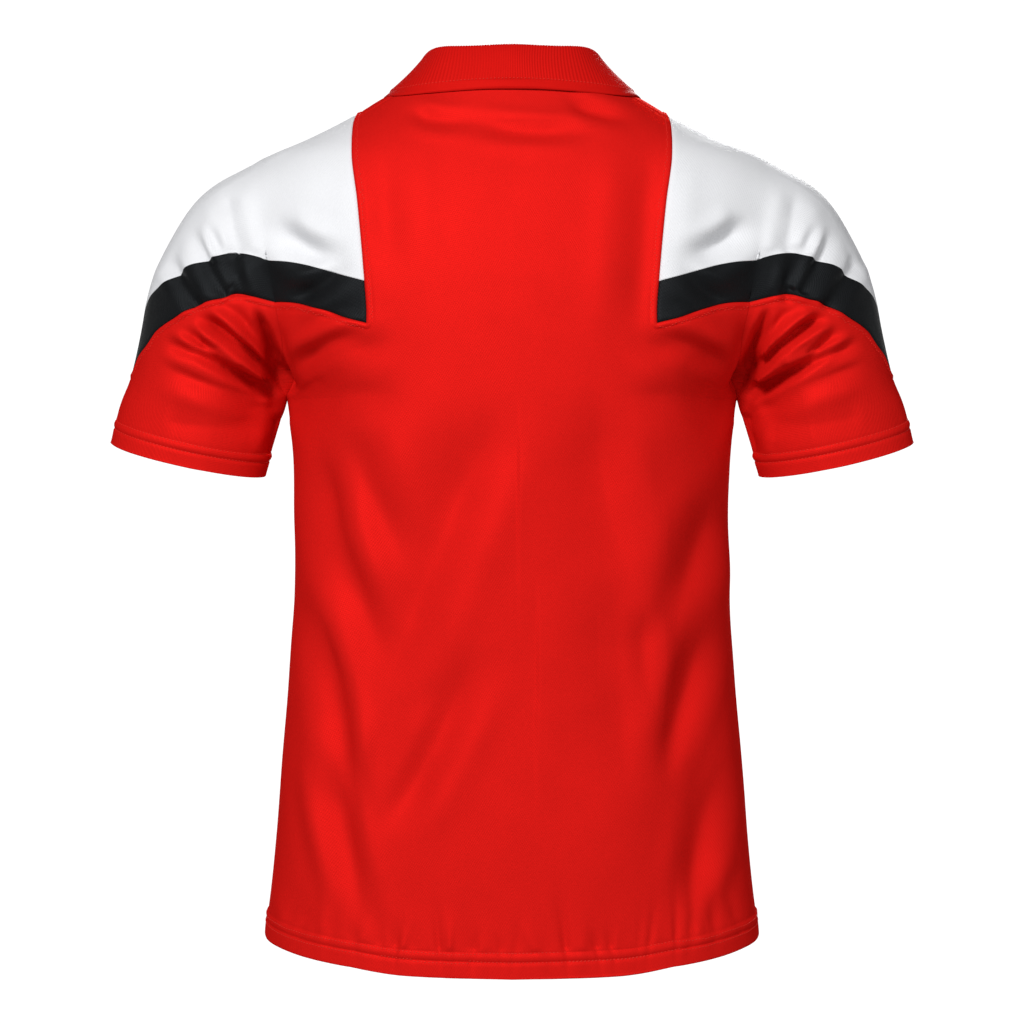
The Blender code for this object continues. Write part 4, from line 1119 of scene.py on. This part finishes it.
def settled(thing, tree, values):       # runs a tree on an object and keeps the result as a plain mesh
    modifier = thing.modifiers.new("tree", "NODES")
    modifier.node_group = tree
    for name, value in values.items():
        modifier[socketOf(tree, name)] = value
    shown = thing.evaluated_get(bpy.context.evaluated_depsgraph_get())
    mesh = bpy.data.meshes.new_from_object(shown)
    thing.modifiers.remove(modifier)
    thing.data = mesh


def ribTree():      # ribs stand up along the normal, by a wave of the length along the collar
    nodes, given = newTree("collarRibs", {"Pitch": collar["ribPitch"], "Depth": collar["ribDepth"]})
    wave = nodes.maths("COSINE", attribute(nodes, "along") / given["Pitch"] * (2 * math.pi))
    ribbed = wave * attribute(nodes, "ribbed")
    across = nodes.add("GeometryNodeInputNormal").outputs[0]
    move = nodes.add("ShaderNodeVectorMath", {"operation": "SCALE"}, Vector=across,
                     Scale=ribbed * given["Depth"])
    # the ribs' height is kept for the rib material, which darkens the grooves with it as painted shade
    kept = nodes.add("GeometryNodeStoreNamedAttribute", {"data_type": "FLOAT", "domain": "POINT"},
                     Geometry=given["Geometry"], Name="ribHeight", Value=ribbed * 0.5 + 0.5)
    moved = nodes.add("GeometryNodeSetPosition", None, Geometry=kept.outputs[0], Offset=move.outputs[0])
    return dressed(nodes, moved.outputs[0], given["Cloth"])


def makeCollar():       # the collar, and the line of its strip's seam
    rows, columns = collarGrid.shape[:2]
    reachIn = np.array([lengths(section) for section in collarGrid])
    onFold = lengths(collarGrid[:, 8])
    along = np.repeat((onFold - onFold[rows // 2])[:, None], columns, axis=1)
    left = reachIn[:, -1:] - reachIn
    ribbed = smooth((left - collar["strip"]) / (1.2 * mm))
    sink = collar["groove"] * np.exp(-((left - collar["strip"]) / collar["grooveWide"]) ** 2)
    sink += collar["step"] * smooth((collar["strip"] - left) / (1.0 * mm))
    out = np.cross(np.gradient(collarGrid, axis=0), np.gradient(collarGrid, axis=1))
    out /= np.maximum(np.linalg.norm(out, axis=2, keepdims=True), 1e-12)
    thick = jersey["rib"] / 2 - collar["thinner"]
    outerSkin = collarGrid + out * (thick - sink)[..., None]
    innerSkin = collarGrid - out * thick
    seam = []
    seamAt = -collar["strip"] - collar["seamBeside"]
    for gone, skinRow, outRow in zip(left, outerSkin, out):
        spot, face = (np.array([np.interp(seamAt, -gone, row[:, k]) for k in range(3)])
                      for row in (skinRow, outRow))
        seam.append((spot + face * 0.2 * mm, face))
    mesh = closedWall("collarCloth", outerSkin.reshape(-1, 3), innerSkin.reshape(-1, 3),
                      gridFaces(rows, columns))
    for name, values in (("along", along), ("ribbed", ribbed)):
        layer = mesh.attributes.new(name, "FLOAT", "POINT")
        layer.data.foreach_set("value", np.tile(values.ravel(), 2).astype(np.float32))
    uv = mesh.uv_layers.new(name="cloth")
    spots = np.tile(np.stack([along, reachIn], axis=-1).reshape(-1, 2), (2, 1))
    corner = np.zeros(len(mesh.loops), dtype=np.int32)
    mesh.loops.foreach_get("vertex_index", corner)
    uv.data.foreach_set("uv", spots[corner].astype(np.float32).ravel())
    mesh.shade_smooth()
    thing = link(bpy.data.objects.new("collarCloth", mesh))
    settled(thing, ribTree(), {"Pitch": collar["ribPitch"], "Depth": collar["ribDepth"], "Cloth": redRib})
    return thing, seam[6:-6:2]


collarPiece, collarSeam = makeCollar()
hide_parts("collar")
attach(collarPiece, "root")
print("collar knitted", len(collarPiece.data.polygons))


stitch = {"pitch": 3.1 * mm, "long": 1.9 * mm, "thick": 0.6 * mm, "sit": 0.16 * mm}


def stitchTree():      # small threads laid end to end along lines that carry the cloth's normal
    nodes, given = newTree("stitches", {"Pitch": stitch["pitch"], "Long": stitch["long"],
                                        "Thick": stitch["thick"]})
    curve = nodes.add("GeometryNodeMeshToCurve", None, Mesh=given["Geometry"])
    spaced = nodes.add("GeometryNodeResampleCurve", {"mode": "LENGTH"}, Curve=curve.outputs[0],
                       Length=given["Pitch"])
    tangent = nodes.add("GeometryNodeInputTangent").outputs[0]
    turned = nodes.add("FunctionNodeAlignRotationToVector", {"axis": "Z"},
                       Vector=attribute(nodes, "up", "FLOAT_VECTOR"))
    laid = nodes.add("FunctionNodeAlignRotationToVector", {"axis": "X", "pivot_axis": "Z"},
                     Rotation=turned.outputs[0], Vector=tangent)
    bead = nodes.add("GeometryNodeMeshUVSphere", None, Segments=6, Rings=5, Radius=0.5)
    size = nodes.add("ShaderNodeCombineXYZ", None, X=given["Long"], Y=given["Thick"], Z=given["Thick"])
    threads = nodes.add("GeometryNodeInstanceOnPoints", None, Points=spaced.outputs[0],
                        Instance=bead.outputs[0], Rotation=laid.outputs[0], Scale=size.outputs[0])
    return dressed(nodes, threads.outputs[0], given["Cloth"])


def besideLine(indices, inward, distance, trim=0.0):      # a line on the cloth beside another
    points = rimLine(indices)[::3]
    along = np.gradient(points, axis=0)
    out = []
    for point, way in zip(points, along):
        _, face, _, _ = outerTree.find_nearest(Vector(point))
        across = unit(np.cross(np.array(face), way)) * inward
        spot, face, _, _ = outerTree.find_nearest(Vector(point + across * distance))
        out.append((np.array(spot + face * stitch["sit"]), np.array(face)))
    gone = lengths(np.array([spot for spot, _ in out]))
    return [pair for pair, g in zip(out, gone) if trim <= g <= gone[-1] - trim]


def sewLines(name, lines):
    points, ups, edges = [], [], []
    for line in lines:
        first = len(points)
        points += [tuple(p) for p, _ in line]
        ups += [tuple(n) for _, n in line]
        edges += [(first + n, first + n + 1) for n in range(len(line) - 1)]
    mesh = bpy.data.meshes.new(name)
    mesh.from_pydata(points, edges, [])
    layer = mesh.attributes.new("up", "FLOAT_VECTOR", "POINT")
    layer.data.foreach_set("vector", np.array(ups, dtype=np.float32).ravel())
    thing = link(bpy.data.objects.new(name, mesh))
    settled(thing, stitchesTree, {"Pitch": stitch["pitch"], "Long": stitch["long"],
                                  "Thick": stitch["thick"], "Cloth": redThread})
    thing.data.shade_smooth()
    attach(thing, "root")
    return thing


stitchesTree = stitchTree()
lines = skin.lines
hemStitches, cuffStitches, panelStitches = [], [], []
for side, way in (("left", 1), ("right", -1)):
    for name, turn in (("hemBack_", -1), ("hemFront_", 1)):
        for at in (hemRelief["upper"], hemRelief["lower"]):
            hemStitches.append(besideLine(lines[name + side], turn * way, at))
    for at in (hemRelief["upper"], hemRelief["lower"]):
        cuffStitches.append(besideLine(lines["cuff_" + side], -way, at * cuffScale))
    for name, turn, trim in (("panelSeam_", -1, 4 * mm), ("bandSeamBack_", 1, 1 * mm),
                             ("bandSeamFront_", -1, 1 * mm), ("bandSeamSleeve_", 1, 1 * mm)):
        panelStitches.append(besideLine(lines[name + side], turn * way, seamRelief["needleAt"], trim))
threads = [
    sewLines("hemStitches", hemStitches),
    sewLines("cuffStitches", cuffStitches),
    sewLines("collarStitches", [collarSeam]),
    sewLines("panelStitches", panelStitches),
]
print("stitches", sum(len(thing.data.polygons) for thing in threads))


studio = {"pale": (0.3, 0.3, 0.3, 1), "floor": -1.6, "radius": 4.9, "sweep": 1.3, "top": 3.0,
          "glow": 0.93, "glowAside": 0.19, "world": 0.05}


def makeBowl():       # floor and backdrop in one, all round, so that every view has a pale ground
    bend = studio["radius"] - studio["sweep"]
    profile = [(r, 0) for r in (0.5, 1.5, 2.6, bend)]
    for a in evenly(14)[1:]:
        profile.append((bend + studio["sweep"] * math.sin(a * math.pi / 2),
                        studio["sweep"] * (1 - math.cos(a * math.pi / 2))))
    profile.append((studio["radius"], studio["top"] - studio["floor"]))
    turns = 96
    angles = [2 * math.pi * n / turns for n in range(turns)]
    points = [(r * math.cos(a), r * math.sin(a), z + studio["floor"]) for r, z in profile for a in angles]
    faces = [(k + n, k + (n + 1) % turns, k + turns + (n + 1) % turns, k + turns + n)
             for k in range(0, (len(profile) - 1) * turns, turns) for n in range(turns)]
    faces.append(tuple(range(turns))[::-1])
    mesh = bpy.data.meshes.new("bowl")
    mesh.from_pydata(points, [], [face[::-1] for face in faces])
    mesh.shade_smooth()
    bowl = link(bpy.data.objects.new("bowl", mesh))
    made, nodes = newMaterial("paleBowl", studio["pale"])
    made.cycles.emission_sampling = "NONE"      # bounced light finds so large a glow, and sooner
    own = nodes.add("ShaderNodeTexCoord").outputs["Object"]
    place = nodes.add("ShaderNodeSeparateXYZ", None, Vector=own)
    soft = {"interpolation_type": "SMOOTHSTEP"}
    behind = nodes.add("ShaderNodeMapRange", soft, i0=place.outputs["Y"],
                       i1=-2.4, i2=-4.1, i3=0.0, i4=1.0).outputs[0]
    aside = nodes.add("ShaderNodeMapRange", soft, i0=nodes.maths("ABSOLUTE", place.outputs["X"]),
                      i1=1.25, i2=2.7, i3=1.0, i4=0.0).outputs[0]
    dim, bright = ((studio[name],) * 3 + (1,) for name in ("glowAside", "glow"))
    glow = nodes.mixed(Num(nodes, behind) * Num(nodes, aside), dim, bright)
    nodes.finish(Base_Color=studio["pale"], Roughness=0.9, Specular_IOR_Level=0.1,
                 Emission_Color=glow, Emission_Strength=1.0)
    mesh.materials.append(made)


def softLight(name, place, target, size, power):
    lamp = bpy.data.lights.new(name, "AREA")
    lamp.shape = "RECTANGLE"
    lamp.size, lamp.size_y = size
    lamp.energy = power
    thing = link(bpy.data.objects.new(name, lamp))
    thing.location = place
    thing.rotation_euler = (Vector(target) - Vector(place)).to_track_quat("-Z", "Y").to_euler()


makeBowl()
softLight("key", (1.10, 3.15, 1.55), (0, 0, -0.35), (0.95, 0.95), 128)
softLight("fill", (-1.5, 2.1, 0.7), (0, 0, -0.4), (0.8, 0.8), 13)
softLight("frontKey", (-0.4, -2.6, 1.0), (0, 0, -0.35), (1.0, 1.0), 60)
world = bpy.data.worlds.new("studio")
world.use_nodes = True
world.node_tree.nodes["Background"].inputs["Color"].default_value = (1, 1, 1, 1)
world.node_tree.nodes["Background"].inputs["Strength"].default_value = studio["world"]
bpy.context.scene.world = world
bpy.context.scene.view_settings.view_transform = "Standard"
print("studio lit")
